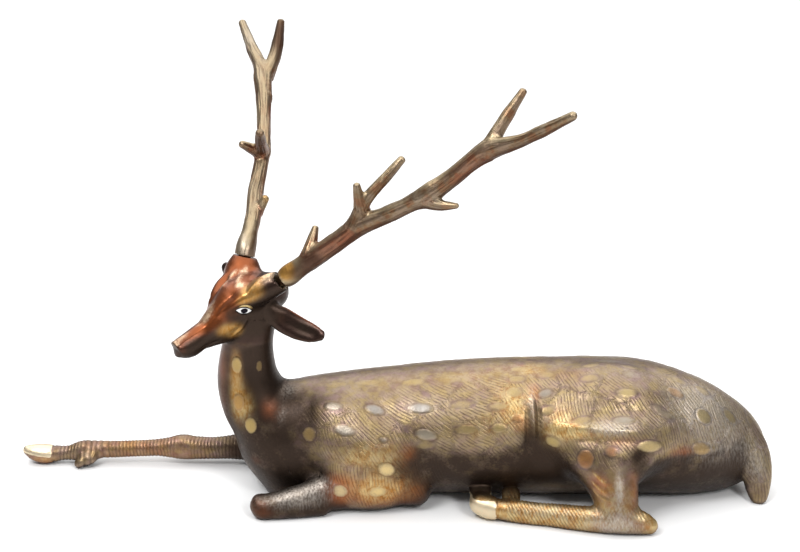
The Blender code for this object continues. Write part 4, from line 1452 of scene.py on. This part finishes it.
@dataclass
class Antler(Casting):
    """One antler with its peg."""

    side: Side
    beam: Limb
    tines: tuple[tuple[Station, ...], ...]
    tints: tuple[Tint, ...]
    grid: float = 0.72
    triangles: int = 90_000
    tip_reach: float = 9.0  # how far the polish reaches round a tip
    foot_reach: float = 34.0  # how far from the socket the grooves are full
    smooth_foot: float = 22.0  # and how far from it they are nearly gone
    bark_cells: Triple = (4.6, 4.6, 0.6)
    knot_cells: Triple = (1.6, 1.6, 1.1)
    bark_depth: float = 0.34
    knot_depth: float = 0.25
    pearl_depth: float = 0.08
    sink: float = 0.1  # how far the whole skin goes in, to make room for these

    def build(self) -> bpy.types.Object:
        """Make the antler with its grooves, square foot and peg.

        Returns:
            The antler, not dressed yet.
        """
        limbs = [self.beam] + [Limb(tine, blend=3, caps=(2, 2)) for tine in self.tines]
        skin = raise_skin(self.name, limbs, self.grid)
        self.carve(skin, limbs)
        socket = SOCKETS[self.side]
        skin.points = socket.square_off(skin.points, socket.play, outwards=False)
        skin.write_marks()
        skin.write()
        thin_out(skin.obj, self.triangles)
        peg = socket.cylinder("peg", socket.peg_radius, -socket.peg_end, socket.play + socket.peg_radius)
        combine(skin.obj, peg, "UNION")
        skin.obj.data.shade_smooth()
        return skin.obj

    def carve(self, skin: Skin, limbs: Sequence[Limb]) -> None:
        """Cut the long grooves that run up the antler, mark its tips and foot, and paint shade on its
        undersides and light on its tops.

        Args:
            skin: The antler's skin.
            limbs: The beam and the tines.
        """
        nearest = np.full(len(skin.points), np.inf)
        grain = np.zeros((len(skin.points), 3))
        tip = np.zeros(len(skin.points))
        for index, limb in enumerate(limbs):
            distance, run, turn = limb.locate(skin.points)
            closer = distance < nearest
            nearest[closer] = distance[closer]
            turned = np.column_stack((np.cos(turn), np.sin(turn), run / 9 + 5 * index))
            grain[closer] = turned[closer]
            end = limb.samples().centres[-1]
            reach = np.linalg.norm(skin.points - end, axis=1)
            tip = np.maximum(tip, np.exp(-(reach / self.tip_reach) ** 2))
        cells = grain * self.bark_cells
        bark = lattice_noise(cells, 21) + 0.5 * lattice_noise(cells * (2, 2, 1.6), 22)
        knots = lattice_noise(grain * self.knot_cells, 24)
        pearls = lattice_noise(skin.points / 2.4, 23)
        foot = np.linalg.norm(skin.points - SOCKETS[self.side].place(), axis=1)
        by_foot = smooth_step(foot, self.foot_reach, self.smooth_foot)
        plain = (1 - 0.9 * by_foot) * (1 - 0.8 * tip * (foot > self.foot_reach))
        groove = smooth_step(-bark, 0.0, 0.8) * plain
        skin.marks = {Mark.GROOVE: groove, Mark.RUBBED_AND_LIT: 0.5 * tip, Mark.GRAIN: grain}
        # painted shade where the skin faces down, painted light where it faces up
        facing = skin.normals()[:, 2]
        skin.mark(Mark.DARK, smooth_step(-facing, 0.0, 0.8) * 0.8)
        skin.mark(Mark.RUBBED_AND_LIT, smooth_step(facing, 0.1, 0.8) * 0.8)
        for tint in self.tints:
            skin.mark(tint.kind, tint.amount(skin.points))
        relief = self.bark_depth * bark * plain + self.knot_depth * knots * (1 - tip)
        skin.lift(relief + self.pearl_depth * pearls - self.sink)


def antlers() -> list[Antler]:
    """Return both antlers.

    Returns:
        The left antler, which is the nearer one, then the right one.
    """
    left = Antler("antler_near", "antler_left", "antler_brass", Side.LEFT, Limb((
        (-78, -16.4, 158.8, 5.8, 5.8), (-74.4, -17.6, 161.8, 6.9, 6.9), (-71.6, -19, 164.4, 7, 7.2),
        (-63.6, -21, 171, 6.4, 6.6), (-53, -24, 179.6, 6.4, 6.8), (-39.6, -30, 191.2, 6, 6.4),
        (-26, -36, 203, 6, 6.6), (-10, -42, 211.6, 5.2, 5.6), (8, -48, 222.2, 5, 5.5),
        (19, -52, 230, 5.6, 6.8), (30, -54, 238.6, 5.2, 5.8), (43.6, -58, 251.4, 5.4, 5.8),
        (54.5, -62, 260, 5.8, 6.4), (71.6, -75, 269, 4, 4), (84.8, -85, 278.2, 3.8, 3.8),
        (100, -96, 289.4, 2.9, 2.9)),
        blend=3, caps=(3, 3)), (
        ((-60, -22, 179, 4.6, 4.6), (-57.3, -19, 187, 3.7, 3.7), (-55.2, -15, 194.6, 2.4, 2.4)),
        ((-29, -36, 203, 5.4, 5.4), (-24.5, -37, 215, 4.3, 4.3), (-18.6, -37.5, 224.5, 3.8, 3.8),
         (-8.4, -36.5, 235.8, 3.4, 3.4), (1.2, -34, 246.3, 2.6, 2.6)),
        ((-24, -37, 214, 4.4, 4.4), (-26, -39, 223, 3.6, 3.6), (-27.2, -40, 231, 2.5, 2.5)),
        ((12, -49, 225, 5, 5), (24, -56, 223.2, 3.6, 3.6), (34.6, -61, 224.2, 2, 2)),
        ((51.5, -61, 257, 5, 5), (57.5, -60, 268, 4.6, 4.6), (65, -57.5, 280.4, 3.8, 3.8),
         (74.4, -54.5, 294.5, 2.6, 2.6))), (
        *tints(Mark.RUBBED_AND_LIT, ((-73.5, -22.5, 168), (8.5, 8.5, 8.5), 3.2)),
        *tints(Mark.DARK, ((-62, -28, 168), (14, 8, 10), 1.1), ((-57, -30, 176), (10, 9, 8), 1.2),
            ((-24, -38, 212), (5, 6, 12), 0.6), ((72, -54, 290), (7, 8, 12), 0.5)),
        *tints(Mark.RED, ((-42, -30, 190), (26, 14, 14)), ((48, -58, 250), (22, 14, 12), 0.7)),
        *tints(Mark.SILVERED_AND_HIGHLIGHT, ((20, -54, 226), (18, 10, 6), 0.5))))
    right = Antler("antler_far", "antler_right", "antler_brass", Side.RIGHT, Limb((
        (-105.9, 21.2, 163, 7.1, 7.1), (-105, 24, 168.4, 6.9, 6.9), (-103.5, 29, 174.1, 6.1, 6.1),
        (-102.5, 34, 178.7, 5.5, 5.5), (-101.7, 39.5, 182.2, 5.5, 5.5), (-101.4, 46, 185.4, 5.5, 5.5),
        (-101.4, 66, 194.8, 5.2, 5.6), (-100.4, 76, 201, 5, 5.4), (-98.4, 91, 212.5, 5.2, 5.2),
        (-97.8, 96, 217, 5.2, 5.2), (-98.6, 112, 229, 5, 5), (-100, 133, 245, 5.4, 5.6),
        (-101.8, 149, 256, 6.2, 6.8), (-104, 160, 263.5, 5.6, 5.6), (-112.4, 182, 274.5, 4.3, 4.3),
        (-121.8, 212, 286.8, 3.2, 3.2)), blend=3, caps=(3, 3)), (
        ((-101, 46, 183.5, 4, 4), (-96.6, 48, 190, 3.8, 3.8), (-92.8, 47, 196.2, 2.7, 2.7)),
        ((-98, 94, 216, 4.6, 4.6), (-98, 79, 227, 4.2, 4.2), (-97, 64, 238, 3.1, 3.1)),
        ((-99, 90, 216, 4.4, 4.4), (-106, 85, 221.5, 3.7, 3.7), (-111.6, 81, 225.5, 2.7, 2.7)),
        ((-99, 134, 245, 5, 5), (-102, 146, 244, 3.8, 3.8), (-104, 157, 243.5, 2.2, 2.2)),
        ((-99, 153, 257.5, 5.4, 5.4), (-93.6, 165, 271, 4.8, 4.8), (-91.4, 172, 281, 4.2, 4.2),
         (-89.6, 180, 294, 2.9, 2.9))), (
        *tints(Mark.SILVERED_AND_HIGHLIGHT, ((-107, 20, 170), (5, 10, 13), 0.9), ((-104, 150, 257), (5, 16, 14), 0.5),
            ((-115, 192, 279), (9, 26, 9), 0.7)),
        *tints(Mark.DARK, ((-98, 22, 170), (3.5, 9, 12), 0.6), ((-98, 72, 232), (5, 16, 11), 1.2),
            ((-90.5, 172, 284), (7, 18, 20), 1.1)),
        *tints(Mark.RED, ((-100, 100, 225), (20, 80, 80), 0.4), ((-97, 46, 187), (4, 12, 9)),
            ((-98, 76, 204), (9, 26, 16), 0.5), ((-95, 120, 236), (4, 18, 18), 0.8)),
        *tints(Mark.RUBBED_AND_LIT, ((-92.8, 47, 196), (5, 6, 7), 2.0), ((-103, 122, 237), (5, 16, 15), 0.9))))
    return [left, right]


class Value:
    """A number socket that can be used in sums."""

    def __init__(self, board: "Board", socket: bpy.types.NodeSocket) -> None:
        """Wrap a socket of a board's node."""
        self.board = board
        self.socket = socket

    def _math(self, operation: str, *terms: "Value | float") -> "Value":
        """Add a Math node over some terms."""
        node = self.board.node("ShaderNodeMath", {"operation": operation}, dict(enumerate(terms)))
        return Value(self.board, node.outputs[0])

    def __add__(self, other: "Value | float") -> "Value":
        """Add."""
        return self._math("ADD", self, other)

    __radd__ = __add__

    def __sub__(self, other: "Value | float") -> "Value":
        """Subtract."""
        return self._math("SUBTRACT", self, other)

    def __rsub__(self, other: float) -> "Value":
        """Subtract from a number."""
        return self._math("SUBTRACT", other, self)

    def __mul__(self, other: "Value | float") -> "Value":
        """Multiply."""
        return self._math("MULTIPLY", self, other)

    __rmul__ = __mul__

    def __truediv__(self, other: "Value | float") -> "Value":
        """Divide."""
        return self._math("DIVIDE", self, other)

    def __pow__(self, power: float) -> "Value":
        """Raise to a power."""
        return self._math("POWER", self, power)

    def size(self) -> "Value":
        """Return the value without its sign."""
        return self._math("ABSOLUTE", self)

    def cosine(self) -> "Value":
        """Return the cosine."""
        return self._math("COSINE", self)

    def least(self, other: "Value | float") -> "Value":
        """Return the smaller of two values."""
        return self._math("MINIMUM", self, other)

    def most(self, other: "Value | float") -> "Value":
        """Return the larger of two values."""
        return self._math("MAXIMUM", self, other)

    def step(self, start: float, end: float, low: float = 0.0, high: float = 1.0) -> "Value":
        """Ease from low to high as the value goes from start to end.

        Args:
            start: The value where the result is low.
            end: The value where the result is high.
            low: The result before the start.
            high: The result past the end.

        Returns:
            The eased value.
        """
        inputs = {"Value": self, "From Min": start, "From Max": end, "To Min": low, "To Max": high}
        node = self.board.node("ShaderNodeMapRange", {"interpolation_type": "SMOOTHSTEP"}, inputs)
        return Value(self.board, node.outputs["Result"])


Colour = tuple[float, float, float]
Link = Value | bpy.types.NodeSocket | float | tuple


class Board:
    """The node tree of one material, and the short ways to add to it."""

    def __init__(self, name: str) -> None:
        """Start a material with a Principled shader.

        Args:
            name: The material's name.
        """
        self.material = bpy.data.materials.new(name)
        self.material.use_nodes = True
        self.tree = self.material.node_tree
        self.shader = self.tree.nodes["Principled BSDF"]

    def node(self, kind: str, settings: dict[str, object] | None = None,
             inputs: dict[str | int, Link] | None = None) -> bpy.types.Node:
        """Add a node.

        Args:
            kind: The node's type.
            settings: Its settings, set before anything is linked.
            inputs: Values or links for its sockets, by name or place.

        Returns:
            The node.
        """
        node = self.tree.nodes.new(kind)
        for name, setting in (settings or {}).items():
            setattr(node, name, setting)
        for name, value in (inputs or {}).items():
            self.feed(node.inputs[name], value)
        return node

    def feed(self, socket: bpy.types.NodeSocket, value: Link) -> None:
        """Link or set a socket.

        Args:
            socket: The socket.
            value: What it is linked to, or its value.
        """
        if isinstance(value, Value):
            self.tree.links.new(value.socket, socket)
        elif isinstance(value, bpy.types.NodeSocket):
            self.tree.links.new(value, socket)
        elif isinstance(value, tuple) and socket.type == "RGBA":
            socket.default_value = (*value, 1)
        else:
            socket.default_value = value

    def mark(self, kind: Mark) -> Value:
        """Read a mark of the skin."""
        node = self.node("ShaderNodeAttribute", {"attribute_name": kind.value})
        return Value(self, node.outputs["Fac"])

    def mark_axes(self, kind: Mark) -> tuple[Value, Value, Value]:
        """Read a mark that is a place.

        Args:
            kind: The mark.

        Returns:
            Its three numbers.
        """
        node = self.node("ShaderNodeAttribute", {"attribute_name": kind.value})
        parts = self.node("ShaderNodeSeparateXYZ", inputs={"Vector": node.outputs["Vector"]})
        return tuple(Value(self, socket) for socket in parts.outputs)

    def noise(self, size: float, detail: float = 2.0, rough: float = 0.5, stretch: Triple = (1, 1, 1),
              kind: Mark | None = None) -> Value:
        """Return noise between 0 and 1.

        Args:
            size: The size of its features in millimetres, or in a mark's own units.
            detail: How many finer layers it has.
            rough: How strong those are.
            stretch: How it is squeezed along each axis.
            kind: The mark whose places it is laid over, if not the object's.

        Returns:
            The noise.
        """
        if kind:
            unit = 1.0
            places = self.node("ShaderNodeAttribute", {"attribute_name": kind.value}).outputs["Vector"]
        else:
            unit = MM
            places = self.node("ShaderNodeTexCoord").outputs["Object"]
        scale = tuple(share / (size * unit) for share in stretch)
        scaled = self.node("ShaderNodeVectorMath", {"operation": "MULTIPLY"}, {0: places, 1: scale})
        node = self.node("ShaderNodeTexNoise", inputs={
            "Vector": scaled.outputs[0], "Scale": 1.0, "Detail": detail, "Roughness": rough})
        return Value(self, node.outputs[0])

    def mix(self, share: Value | float, first: Link, second: Link) -> bpy.types.NodeSocket:
        """Mix two colours."""
        node = self.node("ShaderNodeMix", {"data_type": "RGBA"}, {0: share, 6: first, 7: second})
        return node.outputs[2]  # a Mix node keeps its colours at 6, 7 and 2

    def bump(self, height: Value, distance: float) -> bpy.types.NodeSocket:
        """Turn a height, of which 1 stands for a distance in millimetres, into a normal."""
        inputs = {"Height": height, "Distance": distance * MM, "Strength": 1.0}
        return self.node("ShaderNodeBump", inputs=inputs).outputs["Normal"]

    def finish(self, **inputs: Link) -> bpy.types.Material:
        """Feed the shader's sockets.

        Args:
            inputs: Values or links for the sockets, whose names have _ for a space.

        Returns:
            The material.
        """
        for name, value in inputs.items():
            self.feed(self.shader.inputs[name.replace("_", " ")], value)
        return self.material


def srgb(code: str) -> Colour:
    """Turn a six-digit colour code into linear light."""
    parts = [int(code[start:start + 2], 16) / 255 for start in (0, 2, 4)]
    return tuple(part / 12.92 if part <= 0.04045 else ((part + 0.055) / 1.055) ** 2.4 for part in parts)


@dataclass(frozen=True)
class PatinatedBrass:
    """The body's finish: brass under brown patina and lacquer, rubbed back here and there, with shade
    painted underneath and highlights painted on ridges and lacquer.
    """

    olive: Colour = srgb("8b7a66")
    umber: Colour = srgb("6d594a")
    mauve: Colour = srgb("80676a")
    moss: Colour = srgb("8a7750")
    brown: Colour = srgb("38251e")
    # for dark patina, and for painted shade
    dark: Colour = srgb("382d26")
    gold: Colour = srgb("b07e3a")
    straw: Colour = srgb("d2b982")
    red: Colour = srgb("94512f")
    mahogany: Colour = srgb("88461c")
    # for silver rubbing, and for painted highlights off the head
    silver: Colour = srgb("b9b0a6")
    spot_gold: Colour = srgb("a8935e")
    spot_silver: Colour = srgb("8f8b86")
    spot_orange: Colour = srgb("a8713c")
    # for painted highlights on the head, and for stains on the hooves
    blush: Colour = srgb("e6c8a6")
    cream: Colour = srgb("d8c9ab")
    cut: Colour = srgb("33261e")
    stroke: Colour = srgb("4b3a2c")
    lash: Colour = (0.008, 0.006, 0.005)
    iris: Colour = (0.010, 0.008, 0.012)
    eye_white: Colour = (0.86, 0.86, 0.85)
    hair_pitch: float = HAIR_PITCH

    def coat(self, board: Board, hair: Value) -> bpy.types.NodeSocket:
        """Return the colour of the coat and head without spots, hooves and eyes, with its painted shade
        and painted highlights.

        Args:
            board: Where the nodes go.
            hair: How deep in a fine stroke of hair.

        Returns:
            The colour.
        """
        broad = board.noise(22, 3, 0.6)
        soft = board.noise(11, 2, 0.45)
        middle = board.noise(6, 4, 0.6)
        small = board.noise(1.6, 3, 0.65)
        hue = board.noise(9, 3, 0.6, (1, 1, 1.6))
        streak = board.noise(1.3, 3, 0.6, (1, 1, 0.3))
        head = board.mark(Mark.HEAD)
        plain = 1 - head
        worn = (broad * 0.5 + middle * 0.5).step(0.35, 0.65)
        colour = board.mix(worn, self.umber, self.olive)
        colour = board.mix(hue.step(0.50, 0.66) * 0.45, colour, self.mauve)
        colour = board.mix(hue.step(0.50, 0.36) * 0.6, colour, self.moss)
        colour = board.mix(head, colour, self.brown)
        patchy = 1 + plain * (soft * 0.7 + small * 0.3).step(0.3, 0.7, -0.3, 0.25)
        # dark patina and painted shade
        patina_and_shade_share = (board.mark(Mark.DARK) * patchy).step(0.0, 1.05)
        colour = board.mix(patina_and_shade_share, colour, self.dark)
        red_share = (board.mark(Mark.RED) * patchy).step(0.05, 1.15, 0.0, 0.9)
        red_share = red_share * (1 - head * patina_and_shade_share * 0.85)
        colour = board.mix(red_share, colour, board.mix(head, self.red, self.mahogany))
        # rubbed gold, and painted highlights on the shank's ridges
        rubbed_and_lit_share = (board.mark(Mark.RUBBED_AND_LIT) * patchy).step(0.05, 1.2, 0.0, 0.85)
        bright = (middle * 0.6 + streak * 0.4).step(0.38, 0.62) * (0.35 + plain * 0.65)
        colour = board.mix(rubbed_and_lit_share, colour, board.mix(bright, self.gold, self.straw))
        # silver rubbing, and painted highlights, which are blush on the head
        silvered_and_highlight_share = (board.mark(Mark.SILVERED_AND_HIGHLIGHT) * streak.step(0.3, 0.7, 0.6, 1.4)).step(0.05, 1.1, 0.0, 0.75)
        colour = board.mix(silvered_and_highlight_share, colour, board.mix(head, self.silver, self.blush))
        lit = board.mark(Mark.HAIR).step(0.1, 0.7) * (1 - hair) * (1 - patina_and_shade_share) * 0.16
        colour = board.mix(lit, colour, self.straw)
        specks = small.step(0.58, 0.72) * 0.25 * plain
        colour = board.mix(specks, colour, self.cut)
        cut = board.mark(Mark.GROOVE).step(0.15, 0.85, 0.0, 0.4)
        colour = board.mix(cut, colour, self.cut)
        return board.mix(hair * broad.step(0.3, 0.7, 0.12, 0.42), colour, self.stroke)

    def hair(self, board: Board) -> Value:
        """Return how deep in a fine stroke of hair a place is.

        Args:
            board: Where the nodes go.

        Returns:
            0 to 1.
        """
        across = board.mark_axes(Mark.COMB)[0]
        drift = board.noise(6, 2, 0.5, (1, 0.5, 1), Mark.COMB)
        stroke = (across * (2 * math.pi / self.hair_pitch) + drift * 5).cosine()
        ends = board.noise(1.0, 1, 0.5, (0.7, 0.16, 1), Mark.COMB)
        return stroke.step(-0.1, 0.9) * ends.step(0.36, 0.5) * board.mark(Mark.HAIR).step(0.05, 0.6)

    def build(self) -> bpy.types.Material:
        """Make the material.

        Returns:
            The material.
        """
        board = Board("patinated brass")
        hair = self.hair(board)
        colour = self.coat(board, hair)
        small = board.noise(1.6, 3, 0.65)
        # spots with their outlines
        edge, tone = board.mark(Mark.SPOT), board.mark(Mark.TONE)
        shown = board.mark(Mark.SHOWN)
        ragged = edge + (board.noise(2.5, 2, 0.6) - 0.5) * 1.6
        inside = (1 - ragged.step(-1.3, 0.3)) * shown
        metal = board.mix(tone.step(0.2, 0.95), self.spot_gold, self.spot_silver)
        metal = board.mix(tone.step(0.0, -0.6), metal, self.spot_orange)
        metal = board.mix(tone.step(1.05, 1.45), metal, self.straw)
        metal = board.mix(edge.step(-3.2, -0.4) * 0.4 + small.step(0.5, 0.75) * 0.3, metal, self.olive)
        colour = board.mix(inside * small.step(0.2, 0.5, 0.7, 0.95), colour, metal)
        outline = 1 - (edge - 0.3).size().step(0.05, 0.55)
        colour = board.mix(outline * shown * 0.22, colour, self.cut)
        # hooves
        hoof = (board.mark(Mark.HOOF) + (board.noise(4, 2, 0.5) - 0.5) * 0.7).step(0.4, 0.6)
        stain = board.noise(3, 2, 0.6).step(0.45, 0.75) * 0.5
        colour = board.mix(hoof, colour, board.mix(stain, self.cream, self.blush))
        # eyes
        colour, eye = self.eyes(board, colour)
        head = board.mark(Mark.HEAD)
        dark = board.mark(Mark.DARK).step(0.2, 1.0)
        rough = small.step(0.3, 0.7, 0.34, 0.46) + board.mark(Mark.GROOVE) * 0.15 + hair * 0.08
        rough = rough - head * 0.06 + dark * 0.08
        metallic = 0.88 + dark * 0.1
        height = (board.noise(0.9, 3, 0.6) + board.noise(3.5, 2, 0.5) * 0.8) * (1 - head * 0.85) - hair
        lacquer = head * (0.12 + board.mark(Mark.RED) * 0.1) * (1 - dark) + 0.04
        return board.finish(
            Base_Color=colour, Metallic=metallic * (1 - eye), Roughness=rough,
            Coat_Weight=lacquer * (1 - eye), Coat_Roughness=0.25, Normal=board.bump(height, 0.09))

    def eyes(self, board: Board, colour: Link) -> tuple[bpy.types.NodeSocket, Value]:
        """Paint the eyes over a colour.

        Args:
            board: Where the nodes go.
            colour: What the eyes are painted over.

        Returns:
            The painted colour, and where the white of the eye is.
        """
        x, y, out = board.mark_axes(Mark.EYE)
        near = 1 - out.size().step(5.5, 7)
        lid = LID_ARCH * (1 - (x / EYE_HALF_LENGTH) ** 2)
        inside = (lid - y).least(lid * LOWER_LID + y)
        iris_reach = ((x + 0.2) ** 2 + (y - 0.25) ** 2) ** 0.5
        white = inside.step(0.15, 0.4) * near
        lash = (1 - inside.size().step(0.35, 0.75)) * near * (1 - x.size().step(5.8, 6.6))
        brow_height = y - (5.3 - 0.09 * (x + 0.5) ** 2)
        brow = (1 - brow_height.size().step(0.15, 0.5)) * near * (1 - (x + 0.5).size().step(4.5, 6.0))
        lid_gold = brow_height.step(0.1, -0.4) * inside.step(-0.5, -0.9) * y.step(1.0, 2.4) * near
        lid_gold = lid_gold * (1 - (x + 1.0).size().step(3.0, 5.5))
        colour = board.mix(lid_gold * 0.8, colour, self.straw)
        colour = board.mix(brow * 0.8, colour, self.cut)
        colour = board.mix(lash * 0.95, colour, self.lash)
        colour = board.mix(white, colour, self.eye_white)
        iris = white * (1 - iris_reach.step(2.1, 2.4))
        colour = board.mix(iris, colour, self.iris)
        return colour, white * (1 - iris)


@dataclass(frozen=True)
class AntlerBrass:
    """The antlers' finish: ridged brass with red-brown grooves and golden tips, with shade painted on
    their undersides and light painted on their tops.
    """

    tan: Colour = srgb("7f6c5a")
    olive: Colour = srgb("6e5d42")
    rust: Colour = srgb("7c4b37")
    # for the grooves, and for painted shade under the antlers
    groove: Colour = srgb("432b20")
    gold: Colour = srgb("a8987a")
    amber: Colour = srgb("b8893e")
    silver: Colour = srgb("a79a88")

    def build(self) -> bpy.types.Material:
        """Make the material.

        Returns:
            The material.
        """
        board = Board("antler brass")
        streaks = board.noise(0.35, 3, 0.6, (1, 1, 0.14), Mark.GRAIN)
        middle = board.noise(9, 3, 0.6)
        small = board.noise(1.2, 3, 0.65)
        colour = board.mix(middle.step(0.38, 0.62), self.olive, self.tan)
        rusty = (board.mark(Mark.RED) * 0.8 + middle.step(0.52, 0.38) * 0.5).least(0.9)
        colour = board.mix(rusty, colour, self.rust)
        lit = (board.mark(Mark.RUBBED_AND_LIT) + (streaks - 0.5) * 0.9).step(0.15, 1.0, 0.0, 0.8)
        golden = board.mix(board.mark(Mark.RUBBED_AND_LIT).step(1.1, 2.4), self.gold, self.amber)
        colour = board.mix(lit, colour, golden)
        silvered = (board.mark(Mark.SILVERED_AND_HIGHLIGHT) * small.step(0.3, 0.6, 0.6, 1.2)).step(0.1, 1.0, 0.0, 0.85)
        colour = board.mix(silvered, colour, self.silver)
        # dark patina and painted shade
        dark = board.mark(Mark.DARK).step(0.1, 1.0, 0.0, 0.85)
        colour = board.mix(dark, colour, self.groove)
        cut = board.mark(Mark.GROOVE) * small.step(0.2, 0.6, 0.5, 0.9)
        cut = cut.most(streaks.step(0.45, 0.32) * 0.6).step(0.1, 0.9, 0.0, 0.5)
        colour = board.mix(cut, colour, self.groove)
        rough = small.step(0.3, 0.7, 0.32, 0.46) + dark * 0.15
        height = streaks + small * 0.4
        return board.finish(Base_Color=colour, Metallic=0.92, Roughness=rough, Coat_Weight=0.06,
                            Coat_Roughness=0.2, Normal=board.bump(height, 0.12))


@dataclass(frozen=True)
class StudioPaper:
    """The pale sheet that the deer lies on."""

    colour: Colour = (0.82, 0.82, 0.82)
    shade: Colour = (0.78, 0.78, 0.78)

    def build(self) -> bpy.types.Material:
        """Make the material.

        Returns:
            The material.
        """
        board = Board("studio paper")
        bright = board.noise(60, 2, 0.5).step(0.3, 0.7, 0.985, 1.0)
        tone = board.mix(bright, self.shade, self.colour)
        return board.finish(Base_Color=tone, Roughness=0.9, Specular_IOR_Level=0.2)


@dataclass(frozen=True)
class Softbox:
    """A rectangular light that points at the deer."""

    name: str
    place: Triple
    size: tuple[float, float]
    power: float
    colour: Colour = (1.0, 1.0, 1.0)


@dataclass
class Studio:
    """The sheet, the lights, the surroundings and the camera."""

    aim: Triple = (0.0, 0.0, 0.156)
    elevation: float = math.radians(20)
    distance: float = 1.0
    lens: float = 67.16
    sensor: float = 36.0
    sheet_size: float = 12.0
    surround: float = 0.28
    boxes: tuple[Softbox, ...] = (
        Softbox("ceiling", (0.0, 1.2, 3.2), (6.0, 6.0), 235.0),
        Softbox("key", (-0.55, -0.70, 1.25), (0.55, 0.40), 11.0),
        Softbox("window", (0.60, -0.95, 0.95), (0.30, 0.5), 8.0),
    )

    def build(self) -> None:
        """Set up everything round the deer."""
        self.lay_sheet()
        self.hang_lights()
        self.set_surround()
        self.place_camera()
        LOG.info("studio: a sheet and %d softboxes", len(self.boxes))

    def lay_sheet(self) -> None:
        """Lay the sheet under the deer."""
        mesh = bmesh.new()
        bmesh.ops.create_grid(mesh, x_segments=8, y_segments=8, size=self.sheet_size / 2)
        sheet = link_mesh(mesh, "floor")
        sheet.data.materials.append(StudioPaper().build())

    def hang_lights(self) -> None:
        """Hang the softboxes."""
        for box in self.boxes:
            light = bpy.data.lights.new(box.name, "AREA")
            light.shape = "RECTANGLE"
            light.size, light.size_y = box.size
            light.energy = box.power
            light.color = box.colour
            obj = bpy.data.objects.new(box.name, light)
            obj.location = box.place
            obj.rotation_euler = self.look(Vector(box.place))
            bpy.context.scene.collection.objects.link(obj)

    def look(self, place: Vector) -> tuple[float, float, float]:
        """Return the turn that faces the aim from a place."""
        return (Vector(self.aim) - place).to_track_quat("-Z", "Y").to_euler()

    def set_surround(self) -> None:
        """Surround everything with even pale light."""
        world = bpy.data.worlds.new("surround")
        world.use_nodes = True
        background = world.node_tree.nodes["Background"]
        background.inputs["Color"].default_value = (1, 1, 1, 1)
        background.inputs["Strength"].default_value = self.surround
        bpy.context.scene.world = world
        view = bpy.context.scene.view_settings
        view.view_transform = "Standard"
        view.look = "None"

    def place_camera(self) -> None:
        """Put the camera in front of the deer's left side."""
        camera = bpy.data.cameras.new("camera")
        camera.lens = self.lens
        camera.sensor_width = self.sensor
        obj = bpy.data.objects.new("camera", camera)
        away = Vector((0, -math.cos(self.elevation), math.sin(self.elevation)))
        obj.location = Vector(self.aim) + self.distance * away
        obj.rotation_euler = self.look(obj.location)
        bpy.context.scene.collection.objects.link(obj)
        bpy.context.scene.camera = obj


def main() -> None:
    """Build the deer, its antlers and the studio."""
    logging.basicConfig(level=logging.INFO, format="%(message)s")
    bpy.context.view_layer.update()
    Studio().build()
    body = DeerBody()
    body.dress(body.build(), PatinatedBrass().build())
    antler_brass = AntlerBrass().build()
    for antler in antlers():
        antler.dress(antler.build(), antler_brass)


if __name__ == "__main__":
    main()
